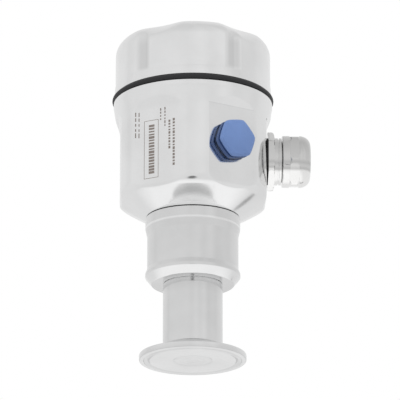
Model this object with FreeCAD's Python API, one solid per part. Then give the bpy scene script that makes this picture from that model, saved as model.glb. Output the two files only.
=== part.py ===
"""Hygienic pressure transmitter with a clamp ferrule, a swivelling steel housing and a fluted screw cover.

Sizes are in millimetres. The origin is the centre of the ferrule's sealing face, +Z runs up the axis of the
transmitter and the cable gland points along +X.
"""
import FreeCAD
import Part
import math
import os

from FreeCAD import Vector

# Clearances shared by the whole assembly
seat_gap = 0.1
running_gap = 0.08
moving_gap = 0.3
weld_gap = 0.05
root_overlap = 0.5

# Clamp ferrule and neck, turned in one piece
ferrule_radius = 25.25
ferrule_rim = 2.85
ferrule_edge = 0.4
ferrule_back_angle = 20.0
gasket_groove_inset = 3.45
gasket_groove_width = 2.9
gasket_groove_depth = 1.2
neck_radius = 14.1
neck_fillet = 3.0
neck_length = 37.2
neck_spigot_radius = 9.0
neck_spigot_length = 3.0
capillary_radius = 1.5

# Isolating diaphragm with two concentric beads, welded into the sealing face
diaphragm_radius = 9.0
diaphragm_thickness = 0.3
diaphragm_setback = 0.35
diaphragm_land = 1.0
diaphragm_bead_height = 0.2
diaphragm_bead_width = 2.0
diaphragm_bead_insets = (6.0, 3.0)
oil_gap = 0.5

# Sensor body: a turned collar with two flared bands and the swivel spigot on top
sensor_bore = 13.6
spigot_wall = 3.4
spigot_end = 1.4
collar_ledge = 4.6
band_flare = 0.9
collar_foot_ledge = 4.5
collar_foot_height = 3.7
lower_band_height = 1.4
lower_cone_height = 2.2
collar_waist_height = 16.2
upper_cone_height = 3.8
upper_band_height = 5.0
collar_floor = 8.8

# Sensing cell, its pins and the small board above it
cell_gap = 1.0
cell_base_height = 5.0
cell_step = 3.1
cell_header_height = 3.0
cell_pin_count = 5
cell_pin_radius = 0.5
cell_pin_inset = 3.5
cell_pin_length = 6.0
sensor_board_gap = 0.5
sensor_board_thickness = 1.6

# Swivel joint between the sensor body and the housing
swivel_gap = 0.5
swivel_seal_section = 1.9
swivel_seal_groove = 2.1
circlip_thickness = 1.2
circlip_width = 3.2
circlip_groove = 1.0
circlip_opening = 40.0
set_screw_radius = 1.5
set_screw_length = 7.0
set_screw_key = 1.5
set_screw_angle = 90.0

# Housing: round casting with six flats that run out below the rim
body_radius = 37.0
flat_depth = 2.4
housing_wall = 3.0
housing_floor = 6.0
housing_height = 57.2
shoulder_height = 8.6
shoulder_fillet = 6.0
dome_foot_inset = 0.1
dome_bulge = 0.3
floor_bevel_width = 6.5
floor_bevel_height = 4.0
flat_foot_radius = 3.5
flat_runout = 14.0
flat_count = 6
rim_step = 1.0
rim_flare = 6.0
rim_lip = 2.0
rim_plain = 1.2
hub_wall = 4.5
hub_height = 6.0
thread_inset = 0.7
thread_wall = 2.4
thread_height = 11.8
thread_relief = 1.0

# Cover with five flutes, and the seal that stands proud under it
cover_gap = 3.0
cover_skirt = 3.8
cover_side = 6.8
cover_ring_height = 4.4
cover_lobe_step = 0.3
cover_height = 28.7
cover_rounding = 8.0
cover_crown = 0.8
cover_wall = 3.4
cover_thread_room = 2.0
cover_inner_rounding = 2.0
flute_count = 5
flute_first = -60.0
flute_radius = 4.5
flute_depth = 1.8
scoop_radius = 28.0
scoop_slope = 42.0
scoop_drop = 9.4
cover_seal_bulge = 1.2
seal_room = 0.2

# Entries through the flats
entry_drop = 10.9
entry_face_rise = 6.5
gland_angle = 0.0
plug_angle = -60.0
vent_angle = 120.0
gland_thread = 10.0
plug_thread = 8.0
entry_boss_wall = 3.0
entry_boss_depth = 8.0

# Cable gland
gland_gasket = 1.0
gland_gasket_width = 1.1
gland_flange_land = 2.0
gland_flange = 3.0
gland_flange_turn = 4.5
gland_neck_step = 0.9
gland_neck = 3.2
gland_ring_groove = 0.6
gland_ring_groove_start = 1.76
gland_cap_thread_step = 0.4
gland_cap_thread_length = 8.8
gland_shank = 9.0
gland_sleeve_wall = 1.4
gland_pocket_depth = 8.6
gland_pocket_ledge = 1.7
grommet_squeeze = 1.0
grommet_length = 8.0
cage_margin = 0.5
cage_slots = 8
cage_slot_width = 1.0
nut_gap = 1.6
nut_length = 12.5
nut_wall = 2.0
nut_collar = 2.5
nut_flat_depth = 0.6
nut_hex = 4.7
nut_hex_step = 0.7
nut_hex_turn = -15.0
nut_end_land = 1.1
nut_mouth_gap = 0.1
nut_end_wall = 1.4

# Blanking plug
plug_seal_thickness = 0.7
plug_seal_width = 0.6
plug_land = 0.95
plug_turn = -19.0
plug_corner_reach = 1.1
plug_base = 2.0
plug_groove = 1.4
plug_groove_depth = 0.9
plug_head = 2.0
plug_bevel = 0.6
plug_shank = 8.0
plug_wall = 1.6

# Breather on a rear flat
vent_radius = 6.0
vent_height = 3.0
vent_edge = 0.5
vent_shank_radius = 4.0
vent_bore = 2.2
vent_slot_width = 1.2
vent_slot_depth = 1.2
vent_chamber = 1.0
vent_membrane_radius = 3.0
vent_membrane_thickness = 0.4

# Electronics insert below the cover
insert_gap = 0.5
insert_clearance = 0.9
insert_flange = 2.5
insert_flange_width = 5.4
insert_drum_height = 14.0
insert_wall = 1.8
insert_floor = 2.0
insert_board_height = 5.0
insert_board_ledge = 1.6
insert_board_thickness = 1.6
insert_notch_width = 14.0
insert_plate = 2.0
lug_count = 3
lug_first = 30.0
lug_width = 9.0
lug_height = 6.0
insert_screw_radius = 1.4
insert_screw_head = 2.4
insert_screw_head_height = 1.9
insert_screw_depth = 5.0

# Terminals and keys on the insert
terminal_width = 26.0
terminal_depth = 10.0
terminal_height = 9.0
terminal_back = 6.0
terminal_count = 3
terminal_spacing = 8.0
terminal_screw_radius = 1.9
terminal_screw_length = 3.0
terminal_screw_sink = 0.6
terminal_wire_radius = 1.6
screw_slot = 0.6
screw_slot_depth = 0.7
key_radius = 2.4
key_rise = 1.5
key_travel = 0.8
key_spacing = 14.0
key_back = -10.0
key_flange = 1.0
key_flange_height = 1.2
key_stem_radius = 1.2
socket_width = 12.0
socket_depth = 7.0
socket_height = 5.5
socket_wall = 1.2

# Earth terminal on a lug of the housing's wall
earth_angle = 200.0
earth_inset = 5.4
earth_lug_reach = 9.4
earth_lug_width = 9.0
earth_lug_height = 6.0
earth_lug_rise = 1.2
earth_screw_radius = 2.0
earth_screw_head = 3.3
earth_screw_head_height = 2.2
earth_screw_depth = 4.0
earth_clamp_side = 7.0
earth_clamp_thickness = 1.2

# Radii that follow from the sizes above
spigot_radius = sensor_bore + spigot_wall
collar_radius = spigot_radius + collar_ledge
band_radius = collar_radius + band_flare
collar_foot_radius = neck_radius + collar_foot_ledge
gasket_groove_radius = ferrule_radius - gasket_groove_inset
cell_base_radius = sensor_bore - cell_gap
cell_header_radius = cell_base_radius - cell_step
cell_pin_circle = cell_header_radius - cell_pin_inset
sensor_board_radius = sensor_bore - sensor_board_gap
hub_radius = spigot_radius + hub_wall
dome_foot_radius = band_radius - dome_foot_inset
flat_apothem = body_radius - flat_depth
cavity_radius = flat_apothem - housing_wall
rim_radius = body_radius + rim_step
thread_bore = cavity_radius - thread_inset
thread_radius = thread_bore + thread_wall
cover_bore = thread_radius + moving_gap
cover_radius = cover_bore + cover_skirt
lobe_radius = cover_radius - cover_lobe_step
cover_seal_radius = cover_radius + cover_seal_bulge
insert_flange_radius = thread_bore - insert_gap
insert_drum_radius = insert_flange_radius - insert_flange_width
insert_screw_circle = insert_flange_radius - insert_flange_width / 2
lug_inner = insert_drum_radius + root_overlap
earth_circle = cavity_radius - earth_inset
earth_lug_inner = cavity_radius - earth_lug_reach
gland_flange_flats = 2 * (gland_thread + gland_flange_land)
gland_neck_radius = gland_thread + gland_neck_step
gland_cap_thread = gland_thread - gland_cap_thread_step
gland_pocket_radius = gland_cap_thread - gland_sleeve_wall
gland_bore = gland_pocket_radius - gland_pocket_ledge
grommet_bore = gland_bore - grommet_squeeze
cage_radius = gland_pocket_radius - moving_gap
cage_bore = grommet_bore + cage_margin
nut_thread = gland_cap_thread + moving_gap
nut_collar_radius = nut_thread + nut_wall
nut_flats = 2 * (nut_collar_radius - nut_flat_depth)
nut_hex_corner = nut_collar_radius + nut_hex_step
nut_mouth = gland_bore + nut_mouth_gap
nut_end_radius = nut_mouth + nut_end_land
plug_flats = 2 * (plug_thread + plug_land)
plug_corner = plug_flats / 2 + plug_corner_reach

# Heights that follow from the sizes above
collar_top = (neck_length + collar_foot_height + lower_band_height + lower_cone_height + collar_waist_height
              + upper_cone_height + upper_band_height)
cell_seat = neck_length + collar_floor
housing_bottom = collar_top + swivel_gap
floor_height = housing_bottom + housing_floor
set_screw_axis = housing_bottom + housing_floor / 2
hub_top = floor_height + hub_height
circlip_bottom = hub_top + seat_gap
circlip_top = circlip_bottom + circlip_thickness
spigot_top = circlip_top + seat_gap + spigot_end
swivel_seal_height = (housing_bottom + hub_top) / 2
rim_top = housing_bottom + housing_height
runout_top = rim_top - rim_lip - rim_plain
runout_bottom = runout_top - flat_runout
thread_top = rim_top + thread_height
skirt_bottom = rim_top + cover_gap
cover_top = skirt_bottom + cover_height
entry_axis = runout_bottom - entry_drop
insert_bottom = entry_axis + gland_thread + entry_boss_wall + insert_clearance
drum_top = insert_bottom + insert_drum_height
plate_top = drum_top + insert_plate
board_seat = insert_bottom + insert_board_height
earth_lug_bottom = spigot_top + earth_lug_rise
earth_seat = earth_lug_bottom + earth_lug_height

# Distances from the flat along the gland's axis
gland_flange_end = gland_gasket + gland_flange
gland_neck_end = gland_flange_end + gland_neck
gland_end = gland_neck_end + gland_cap_thread_length
nut_start = gland_neck_end + nut_gap
nut_end = nut_start + nut_length
nut_floor = nut_end - nut_end_wall
grommet_start = gland_end - gland_pocket_depth
cage_start = grommet_start + grommet_length + moving_gap
cage_end = nut_floor - moving_gap

axis_z = Vector(0, 0, 1)
origin = Vector(0, 0, 0)


def turned(outline):
    """A solid of revolution from (radius, height) points; two more numbers are a point on the arc to it."""
    corners = [Vector(point[0], 0, point[1]) for point in outline]
    edges = []
    for index, point in enumerate(outline):
        start = corners[index - 1]
        if len(point) == 4:
            edges.append(Part.Arc(start, Vector(point[2], 0, point[3]), corners[index]).toShape())
        else:
            edges.append(Part.makeLine(start, corners[index]))
    return Part.Face(Part.Wire(edges)).revolve(origin, axis_z, 360)


def rod(radius, bottom, top):
    """A round bar on the Z axis."""
    return Part.makeCylinder(radius, top - bottom, Vector(0, 0, bottom))


def ring(outer, inner, bottom, top):
    """A plain round ring on the Z axis."""
    return rod(outer, bottom, top).cut(rod(inner, bottom, top))


def hexagon(across_flats, bottom, top, turn):
    """A hexagonal bar on the Z axis."""
    corner = across_flats / math.sqrt(3)
    bearings = [math.radians(turn + 60 * side) for side in range(7)]
    points = [Vector(corner * math.cos(b), corner * math.sin(b), bottom) for b in bearings]
    return Part.Face(Part.makePolygon(points)).extrude(Vector(0, 0, top - bottom))


def block(width, depth, bottom, top, middle_x=0.0, middle_y=0.0):
    """An upright rectangular block about a middle line."""
    corner = Vector(middle_x - width / 2, middle_y - depth / 2, bottom)
    return Part.makeBox(width, depth, top - bottom, corner)


def turned_to(shape, angle):
    """A copy of a shape, swung about the Z axis."""
    copy = shape.copy()
    copy.rotate(origin, axis_z, angle)
    return copy


def shifted(shape, x, y, z=0.0):
    """A copy of a shape, moved without turning."""
    copy = shape.copy()
    copy.translate(Vector(x, y, z))
    return copy


def around(shape, count, first):
    """Copies of a shape spaced evenly about the Z axis."""
    return [turned_to(shape, first + 360.0 * index / count) for index in range(count)]


def on_flat(shape, angle):
    """A shape drawn along +Z from a flat's middle, laid on the flat that faces the given bearing."""
    copy = shape.copy()
    copy.rotate(origin, Vector(0, 1, 0), 90)
    copy.translate(Vector(flat_apothem, 0, entry_axis))
    return turned_to(copy, angle)


def circle_edges(shape, radius, height):
    """The circular edges of a turned shape at one radius and height."""
    found = []
    for edge in shape.Edges:
        is_circle = isinstance(edge.Curve, Part.Circle)
        if is_circle and math.isclose(edge.Curve.Radius, radius, abs_tol=1e-4):
            if math.isclose(edge.Curve.Center.z, height, abs_tol=1e-4):
                found.append(edge)
    return found


def process_connector():
    """Ferrule, back cone and neck, with the gasket groove, the diaphragm's bed and the oil capillary."""
    bed = diaphragm_setback + diaphragm_thickness
    pocket = bed + oil_gap
    pocket_radius = diaphragm_radius - diaphragm_land
    back_slope = math.radians(ferrule_back_angle)
    cone_top = ferrule_rim + (ferrule_radius - neck_radius) * math.tan(back_slope)
    half_turn = math.radians(90 - ferrule_back_angle) / 2
    reach = neck_fillet * math.tan(half_turn)
    fillet_centre = Vector(neck_radius + neck_fillet, 0, cone_top + reach)
    fillet_middle = fillet_centre - Vector(math.cos(half_turn), 0, math.sin(half_turn)) * neck_fillet
    spigot_end_height = neck_length + neck_spigot_length
    body = turned([
        (capillary_radius, pocket),
        (pocket_radius, pocket),
        (pocket_radius, bed),
        (diaphragm_radius + weld_gap, bed),
        (diaphragm_radius + weld_gap, 0),
        (gasket_groove_radius - gasket_groove_width / 2, 0),
        (gasket_groove_radius + gasket_groove_width / 2, 0, gasket_groove_radius, gasket_groove_depth),
        (ferrule_radius, 0),
        (ferrule_radius, ferrule_rim),
        (neck_radius + reach * math.cos(back_slope), cone_top - reach * math.sin(back_slope)),
        (neck_radius, cone_top + reach, fillet_middle.x, fillet_middle.z),
        (neck_radius, neck_length),
        (neck_spigot_radius, neck_length),
        (neck_spigot_radius, spigot_end_height),
        (capillary_radius, spigot_end_height),
    ])
    rim_edges = circle_edges(body, ferrule_radius, 0) + circle_edges(body, ferrule_radius, ferrule_rim)
    return body.makeFillet(ferrule_edge, rim_edges)


def isolating_diaphragm():
    """Thin round sheet with rolled beads."""
    low = diaphragm_setback
    high = low + diaphragm_thickness
    under = [(0, low)]
    over = []
    for inset in diaphragm_bead_insets:
        start = diaphragm_radius - inset
        middle = start + diaphragm_bead_width / 2
        end = start + diaphragm_bead_width
        under += [(start, low), (end, low, middle, low - diaphragm_bead_height)]
        over += [(end, high), (start, high, middle, high - diaphragm_bead_height)]
    back = []
    for index in range(len(over) - 2, -1, -2):
        back += over[index:index + 2]
    return turned(under + [(diaphragm_radius, low), (diaphragm_radius, high)] + back + [(0, high)])


def sensor_body():
    """Collar with flared bands, the bore for the cell and the grooved swivel spigot."""
    foot_top = neck_length + collar_foot_height
    band_top = foot_top + lower_band_height
    waist_bottom = band_top + lower_cone_height
    waist_top = waist_bottom + collar_waist_height
    cone_top = waist_top + upper_cone_height
    socket_radius = neck_spigot_radius + weld_gap
    socket_top = neck_length + neck_spigot_length + weld_gap
    seal_half = swivel_seal_section / 2 + seat_gap
    seal_floor = spigot_radius - swivel_seal_groove
    clip_floor = spigot_radius - circlip_groove
    return turned([
        (socket_radius, neck_length),
        (collar_foot_radius, neck_length),
        (band_radius, foot_top),
        (band_radius, band_top),
        (collar_radius, waist_bottom),
        (collar_radius, waist_top),
        (band_radius, cone_top),
        (band_radius, collar_top),
        (spigot_radius, collar_top),
        (spigot_radius, swivel_seal_height - seal_half),
        (seal_floor, swivel_seal_height - seal_half),
        (seal_floor, swivel_seal_height + seal_half),
        (spigot_radius, swivel_seal_height + seal_half),
        (spigot_radius, circlip_bottom - seat_gap / 2),
        (clip_floor, circlip_bottom - seat_gap / 2),
        (clip_floor, circlip_top + seat_gap / 2),
        (spigot_radius, circlip_top + seat_gap / 2),
        (spigot_radius, spigot_top),
        (sensor_bore, spigot_top),
        (sensor_bore, cell_seat),
        (capillary_radius, cell_seat),
        (capillary_radius, socket_top),
        (socket_radius, socket_top),
    ])


def sensing_cell():
    """Stepped steel cell on the floor of the sensor body's bore."""
    header_bottom = cell_seat + cell_base_height
    base = rod(cell_base_radius, cell_seat, header_bottom)
    header = rod(cell_header_radius, header_bottom, header_bottom + cell_header_height)
    return base.fuse(header).removeSplitter()


def cell_pins():
    """Contact pins between the cell's header and the sensor board."""
    header_top = cell_seat + cell_base_height + cell_header_height
    pin = shifted(rod(cell_pin_radius, header_top, header_top + cell_pin_length), cell_pin_circle, 0)
    return Part.makeCompound(around(pin, cell_pin_count, 0))


def sensor_board():
    """Round board carried on the cell's pins."""
    bottom = cell_seat + cell_base_height + cell_header_height + cell_pin_length
    return rod(sensor_board_radius, bottom, bottom + sensor_board_thickness)


def swivel_seal():
    """Round-section seal in the spigot's groove."""
    section = swivel_seal_section / 2
    middle = spigot_radius - swivel_seal_groove + seat_gap + section
    return Part.makeTorus(middle, section, Vector(0, 0, swivel_seal_height), axis_z)


def swivel_circlip():
    """Open spring ring that keeps the housing on the spigot."""
    inner = spigot_radius - circlip_groove + weld_gap
    band = ring(inner + circlip_width, inner, circlip_bottom, circlip_top)
    reach = inner + circlip_width + seat_gap
    half = math.radians(circlip_opening / 2)
    span = reach / math.cos(half)
    tips = [
        Vector(0, 0, circlip_bottom),
        Vector(span * math.cos(half), -span * math.sin(half), circlip_bottom),
        Vector(span * math.cos(half), span * math.sin(half), circlip_bottom),
        Vector(0, 0, circlip_bottom),
    ]
    gap = Part.Face(Part.makePolygon(tips)).extrude(Vector(0, 0, circlip_thickness))
    return band.cut(gap)


def dome_height(radius):
    """Height and slope of the housing's rounded underside at a radius, with the arc's middle point."""
    foot = Vector(dome_foot_radius, 0, housing_bottom)
    shoulder = Vector(body_radius, 0, housing_bottom + shoulder_height)
    chord = shoulder - foot
    outward = Vector(chord.z, 0, -chord.x).normalize()
    middle = (foot + shoulder) * 0.5 + outward * dome_bulge
    centre = Part.Arc(foot, middle, shoulder).toShape().Curve.Center
    arc_radius = (foot - centre).Length
    drop = math.sqrt(arc_radius ** 2 - (radius - centre.x) ** 2)
    height = centre.z - drop
    slope = math.atan2(radius - centre.x, drop)
    return height, slope, middle


def flat_cutter():
    """The stock outside one flat, rounded into the dome below and running out in an S below the rim."""
    dome, slope, _ = dome_height(flat_apothem)
    half_turn = (math.pi / 2 - slope) / 2
    foot_z = dome + flat_foot_radius * math.tan(half_turn)
    centre = Vector(flat_apothem - flat_foot_radius, 0, foot_z)
    foot_middle = centre + Vector(math.cos(half_turn), 0, -math.sin(half_turn)) * flat_foot_radius
    foot_end = centre + Vector(math.sin(slope), 0, -math.cos(slope)) * flat_foot_radius
    tail = foot_end - Vector(math.cos(slope), 0, math.sin(slope)) * shoulder_height
    far = rim_radius + flat_foot_radius
    step = rim_radius - flat_apothem + seat_gap
    bend = (step ** 2 + flat_runout ** 2) / (4 * step)
    half_bend = math.asin(flat_runout / 2 / bend) / 2
    side = bend * (1 - math.cos(half_bend))
    rise = bend * math.sin(half_bend)
    lower = Vector(flat_apothem, 0, runout_bottom)
    middle = Vector(flat_apothem + step / 2, 0, runout_bottom + flat_runout / 2)
    upper = Vector(flat_apothem + step, 0, runout_top)
    edges = [
        Part.makeLine(Vector(far, 0, tail.z), tail),
        Part.makeLine(tail, foot_end),
        Part.Arc(foot_end, foot_middle, Vector(flat_apothem, 0, foot_z)).toShape(),
        Part.makeLine(Vector(flat_apothem, 0, foot_z), lower),
        Part.Arc(lower, lower + Vector(side, 0, rise), middle).toShape(),
        Part.Arc(middle, upper - Vector(side, 0, rise), upper).toShape(),
        Part.makeLine(upper, Vector(far, 0, runout_top)),
        Part.makeLine(Vector(far, 0, runout_top), Vector(far, 0, tail.z)),
    ]
    face = Part.Face(Part.Wire(edges))
    face.translate(Vector(0, -body_radius, 0))
    return face.extrude(Vector(0, 2 * body_radius, 0))


def housing_outside():
    """Round outside with domed underside, shoulder, flared rim and threaded neck, and its six flats."""
    _, _, middle = dome_height(dome_foot_radius)
    shoulder = housing_bottom + shoulder_height
    lip = rim_top - rim_lip
    flare = (rim_step ** 2 + rim_flare ** 2) / (2 * rim_step)
    flare_middle = body_radius + flare - math.sqrt(flare ** 2 - (rim_flare / 2) ** 2)
    body = turned([
        (0, housing_bottom),
        (dome_foot_radius, housing_bottom),
        (body_radius, shoulder, middle.x, middle.z),
        (body_radius, lip - rim_flare),
        (rim_radius, lip, flare_middle, lip - rim_flare / 2),
        (rim_radius, rim_top),
        (thread_radius, rim_top),
        (thread_radius, thread_top),
        (0, thread_top),
    ])
    body = body.makeFillet(shoulder_fillet, circle_edges(body, body_radius, shoulder))
    body = body.cut(Part.makeCompound(around(flat_cutter(), flat_count, gland_angle)))
    milled = block(body_radius, 2 * body_radius, entry_axis, runout_bottom + entry_face_rise,
                   flat_apothem + body_radius / 2)
    return body.cut([turned_to(milled, gland_angle), turned_to(milled, plug_angle)])


def lying_rod(radius, start, end, height, angle):
    """A round bar that lies along a bearing, between two radii."""
    bar = Part.makeCylinder(radius, end - start, Vector(start, 0, height), Vector(1, 0, 0))
    return turned_to(bar, angle)


def housing_body():
    """Hollow housing with swivel hub, entries, and lugs for the insert and the earth terminal."""
    shell = housing_outside()
    relief_top = rim_top - rim_lip
    cavity = turned([
        (0, floor_height),
        (cavity_radius - floor_bevel_width, floor_height),
        (cavity_radius, floor_height + floor_bevel_height),
        (cavity_radius, relief_top - thread_relief),
        (thread_bore, relief_top),
        (thread_bore, thread_top),
        (0, thread_top),
    ])
    shell = shell.cut(cavity)
    lug_outer = cavity_radius + root_overlap
    lug = block(lug_outer - lug_inner, lug_width, insert_bottom - lug_height, insert_bottom,
                (lug_outer + lug_inner) / 2)
    gland_boss = rod(gland_thread + entry_boss_wall, -entry_boss_depth, -root_overlap)
    plug_boss = rod(plug_thread + entry_boss_wall, -entry_boss_depth, -root_overlap)
    earth_lug = block(lug_outer - earth_lug_inner, earth_lug_width, earth_lug_bottom, earth_seat,
                      (lug_outer + earth_lug_inner) / 2)
    added = [rod(hub_radius, floor_height - seat_gap, hub_top), turned_to(earth_lug, earth_angle)]
    added += around(lug, lug_count, lug_first)
    added += [on_flat(gland_boss, gland_angle), on_flat(plug_boss, plug_angle)]
    shell = shell.fuse(added)
    earth_hole = rod(earth_screw_radius + seat_gap, earth_seat - earth_screw_depth - seat_gap, earth_seat)
    through = [
        rod(spigot_radius + running_gap, housing_bottom, hub_top),
        on_flat(rod(gland_thread + seat_gap, -entry_boss_depth, seat_gap), gland_angle),
        on_flat(rod(plug_thread + moving_gap, -entry_boss_depth, seat_gap), plug_angle),
        on_flat(rod(vent_shank_radius + seat_gap, -2 * housing_wall, seat_gap), vent_angle),
        lying_rod(set_screw_radius + seat_gap, spigot_radius, body_radius, set_screw_axis, set_screw_angle),
        turned_to(shifted(earth_hole, earth_circle, 0), earth_angle),
    ]
    pilot_bottom = insert_bottom - insert_screw_depth - seat_gap
    pilot = rod(insert_screw_radius + seat_gap, pilot_bottom, insert_bottom)
    through += around(shifted(pilot, insert_screw_circle, 0), lug_count, lug_first)
    return shell.cut(Part.makeCompound(through)).removeSplitter()


def swivel_set_screw():
    """Grub screw with a hexagon socket, backed off from the spigot."""
    start = spigot_radius + moving_gap
    bar = lying_rod(set_screw_radius, start, start + set_screw_length, set_screw_axis, 0)
    socket = hexagon(set_screw_key, set_screw_length / 2, set_screw_length, 0)
    socket.rotate(origin, Vector(0, 1, 0), 90)
    socket.translate(Vector(start, 0, set_screw_axis))
    return turned_to(bar.cut(socket), set_screw_angle)


def cover():
    """Screw cover: round base ring, flutes between rounded lobes, scooped where a flute meets the crown."""
    thread_end = thread_top + cover_thread_room
    ring_top = skirt_bottom + cover_ring_height
    edge = cover_top - cover_rounding
    crown_radius = lobe_radius - cover_rounding
    crown_sphere = (crown_radius ** 2 + cover_crown ** 2) / (2 * cover_crown)
    crown_drop = crown_sphere - math.sqrt(crown_sphere ** 2 - (crown_radius / 2) ** 2)
    bevel = math.sqrt(0.5)
    inner_radius = cover_radius - cover_side
    inner_top = cover_top - cover_wall
    inner_edge = inner_top - cover_inner_rounding
    inner_crown = inner_radius - cover_inner_rounding
    body = turned([
        (cover_bore, skirt_bottom),
        (cover_radius, skirt_bottom),
        (cover_radius, ring_top),
        (lobe_radius, ring_top),
        (lobe_radius, edge),
        (crown_radius, cover_top, crown_radius + cover_rounding * bevel, edge + cover_rounding * bevel),
        (0, cover_top + cover_crown, crown_radius / 2, cover_top + cover_crown - crown_drop),
        (0, inner_top),
        (inner_crown, inner_top),
        (inner_radius, inner_edge,
         inner_crown + cover_inner_rounding * bevel, inner_edge + cover_inner_rounding * bevel),
        (inner_radius, thread_end),
        (cover_bore, thread_end),
    ])
    flute = shifted(rod(flute_radius, ring_top, cover_top), lobe_radius - flute_depth + flute_radius, 0)
    slope = math.radians(scoop_slope)
    along = Vector(-math.cos(slope), 0, math.sin(slope))
    away = Vector(math.sin(slope), 0, math.cos(slope))
    valley = Vector(cover_radius, 0, cover_top - scoop_drop)
    start = valley + away * scoop_radius - along * cover_radius
    scoop = Part.makeCylinder(scoop_radius, 3 * cover_radius, start, along)
    cutters = around(flute, flute_count, flute_first) + around(scoop, flute_count, flute_first)
    for cutter in cutters:
        body = body.cut(cutter)
    return body


def cover_seal():
    """Squeezed ring seal between the rim and the cover's skirt, bulging outwards."""
    low = rim_top + seal_room
    high = skirt_bottom - seal_room
    half = (high - low) / 2
    inner = cover_bore
    return turned([
        (inner, low),
        (cover_seal_radius - half, low),
        (cover_seal_radius - half, high, cover_seal_radius, low + half),
        (inner, high),
    ])


def chamfered_hexagon(across_flats, bottom, top, turn, corner):
    """A hexagonal bar whose corners are turned down to a radius and bevelled at the outer end."""
    apothem = across_flats / 2
    drop = (corner - apothem) * math.tan(math.radians(30))
    barrel = turned([(0, bottom), (corner, bottom), (corner, top - drop), (apothem, top), (0, top)])
    return hexagon(across_flats, bottom, top, turn).common(barrel)


def gland_body():
    """Gland's lower half: hexagon flange, grooved neck, cap thread and the shank inside the housing."""
    corner = gland_flange_flats / math.sqrt(3)
    flange = chamfered_hexagon(gland_flange_flats, gland_gasket, gland_flange_end,
                               gland_flange_turn, corner)
    groove = gland_flange_end + gland_ring_groove_start
    stem = turned([
        (gland_bore, -gland_shank),
        (gland_thread, -gland_shank),
        (gland_thread, gland_gasket),
        (gland_neck_radius, gland_gasket),
        (gland_neck_radius, groove),
        (gland_neck_radius - gland_ring_groove, groove),
        (gland_neck_radius - gland_ring_groove, groove + gland_ring_groove),
        (gland_neck_radius, groove + gland_ring_groove),
        (gland_neck_radius, gland_neck_end),
        (gland_cap_thread, gland_neck_end),
        (gland_cap_thread, gland_end),
        (gland_pocket_radius, gland_end),
        (gland_pocket_radius, grommet_start),
        (gland_bore, grommet_start),
    ])
    passage = rod(gland_bore, -gland_shank, grommet_start)
    pocket = rod(gland_pocket_radius, grommet_start, gland_end)
    whole = flange.fuse(stem).cut(passage).cut(pocket).removeSplitter()
    return on_flat(whole, gland_angle)


def gland_gasket_ring():
    """Flat gasket between the gland's flange and the housing."""
    inner = gland_thread + seat_gap
    return on_flat(ring(inner + gland_gasket_width, inner, 0, gland_gasket), gland_angle)


def gland_grommet():
    """Rubber sleeve that closes on the cable, waisted at its outer end."""
    outer = gland_pocket_radius - seat_gap
    end = grommet_start + grommet_length
    taper = (outer - grommet_bore) / 3
    sleeve = turned([
        (grommet_bore, grommet_start),
        (outer, grommet_start),
        (outer, end - taper),
        (outer - taper, end),
        (grommet_bore, end),
    ])
    return on_flat(sleeve, gland_angle)


def gland_cage():
    """Slotted thrust ring between the grommet and the cap nut."""
    band = ring(cage_radius, cage_bore, cage_start, cage_end)
    slot_start = cage_start + (cage_end - cage_start) / 3
    slot = block(cage_radius, cage_slot_width, slot_start, cage_end, (cage_radius + cage_bore) / 2)
    return on_flat(band.cut(Part.makeCompound(around(slot, cage_slots, 0))), gland_angle)


def gland_nut():
    """Cap nut: round collar, hexagon band and domed end with the cable mouth."""
    hex_start = nut_start + nut_collar
    hex_end = hex_start + nut_hex
    rise = nut_end - hex_end
    sweep = nut_collar_radius - nut_end_radius
    bevel = math.sqrt(0.5)
    outside = turned([
        (0, nut_start),
        (nut_collar_radius, nut_start),
        (nut_collar_radius, hex_start),
        (nut_hex_corner, hex_start),
        (nut_hex_corner, hex_end),
        (nut_collar_radius, hex_end),
        (nut_end_radius, nut_end, nut_end_radius + sweep * bevel, hex_end + rise * bevel),
        (0, nut_end),
    ])
    band = ring(nut_hex_corner + seat_gap, nut_mouth, hex_start, hex_end)
    trim = band.cut(chamfered_hexagon(nut_flats, hex_start, hex_end, nut_hex_turn, nut_hex_corner))
    inside = turned([
        (0, nut_start),
        (nut_thread, nut_start),
        (nut_thread, hex_end),
        (gland_pocket_radius, nut_floor),
        (nut_mouth, nut_floor),
        (nut_mouth, nut_end),
        (0, nut_end),
    ])
    return on_flat(outside.cut(trim).cut(inside), gland_angle)


def blanking_plug():
    """Plastic plug: hexagon base and head with a groove between them, and a hollow threaded shank."""
    start = plug_seal_thickness + 2 * seal_room
    base_end = start + plug_base
    head_start = base_end + plug_groove
    head_end = head_start + plug_head
    apothem = plug_flats / 2
    base = hexagon(plug_flats, start, base_end, plug_turn).common(rod(plug_corner, start, base_end))
    web = rod(apothem - plug_groove_depth, base_end - seat_gap, head_start + seat_gap)
    head_barrel = turned([
        (0, head_start),
        (plug_corner, head_start),
        (plug_corner, head_end - plug_bevel),
        (plug_corner - plug_bevel, head_end),
        (0, head_end),
    ])
    bevelled = bevelled_hexagon(plug_flats, head_start, head_end, plug_turn, plug_bevel)
    shank = rod(plug_thread, -plug_shank, start + seat_gap)
    hollow = rod(plug_thread - plug_wall, -plug_shank, start)
    whole = base.fuse([web, bevelled.common(head_barrel), shank]).cut(hollow)
    return on_flat(whole.removeSplitter(), plug_angle)


def bevelled_hexagon(across_flats, bottom, top, turn, bevel):
    """A hexagonal bar with a flat bevel along each edge of its outer end."""
    bar = hexagon(across_flats, bottom, top, turn)
    edges = [edge for edge in bar.Edges if edge.BoundBox.ZMin > top - seat_gap]
    return bar.makeChamfer(bevel, edges)


def plug_seal():
    """Flat ring seal under the blanking plug's base."""
    inner = plug_thread + moving_gap
    return on_flat(ring(inner + plug_seal_width, inner, seal_room, seal_room + plug_seal_thickness),
                   plug_angle)


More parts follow.
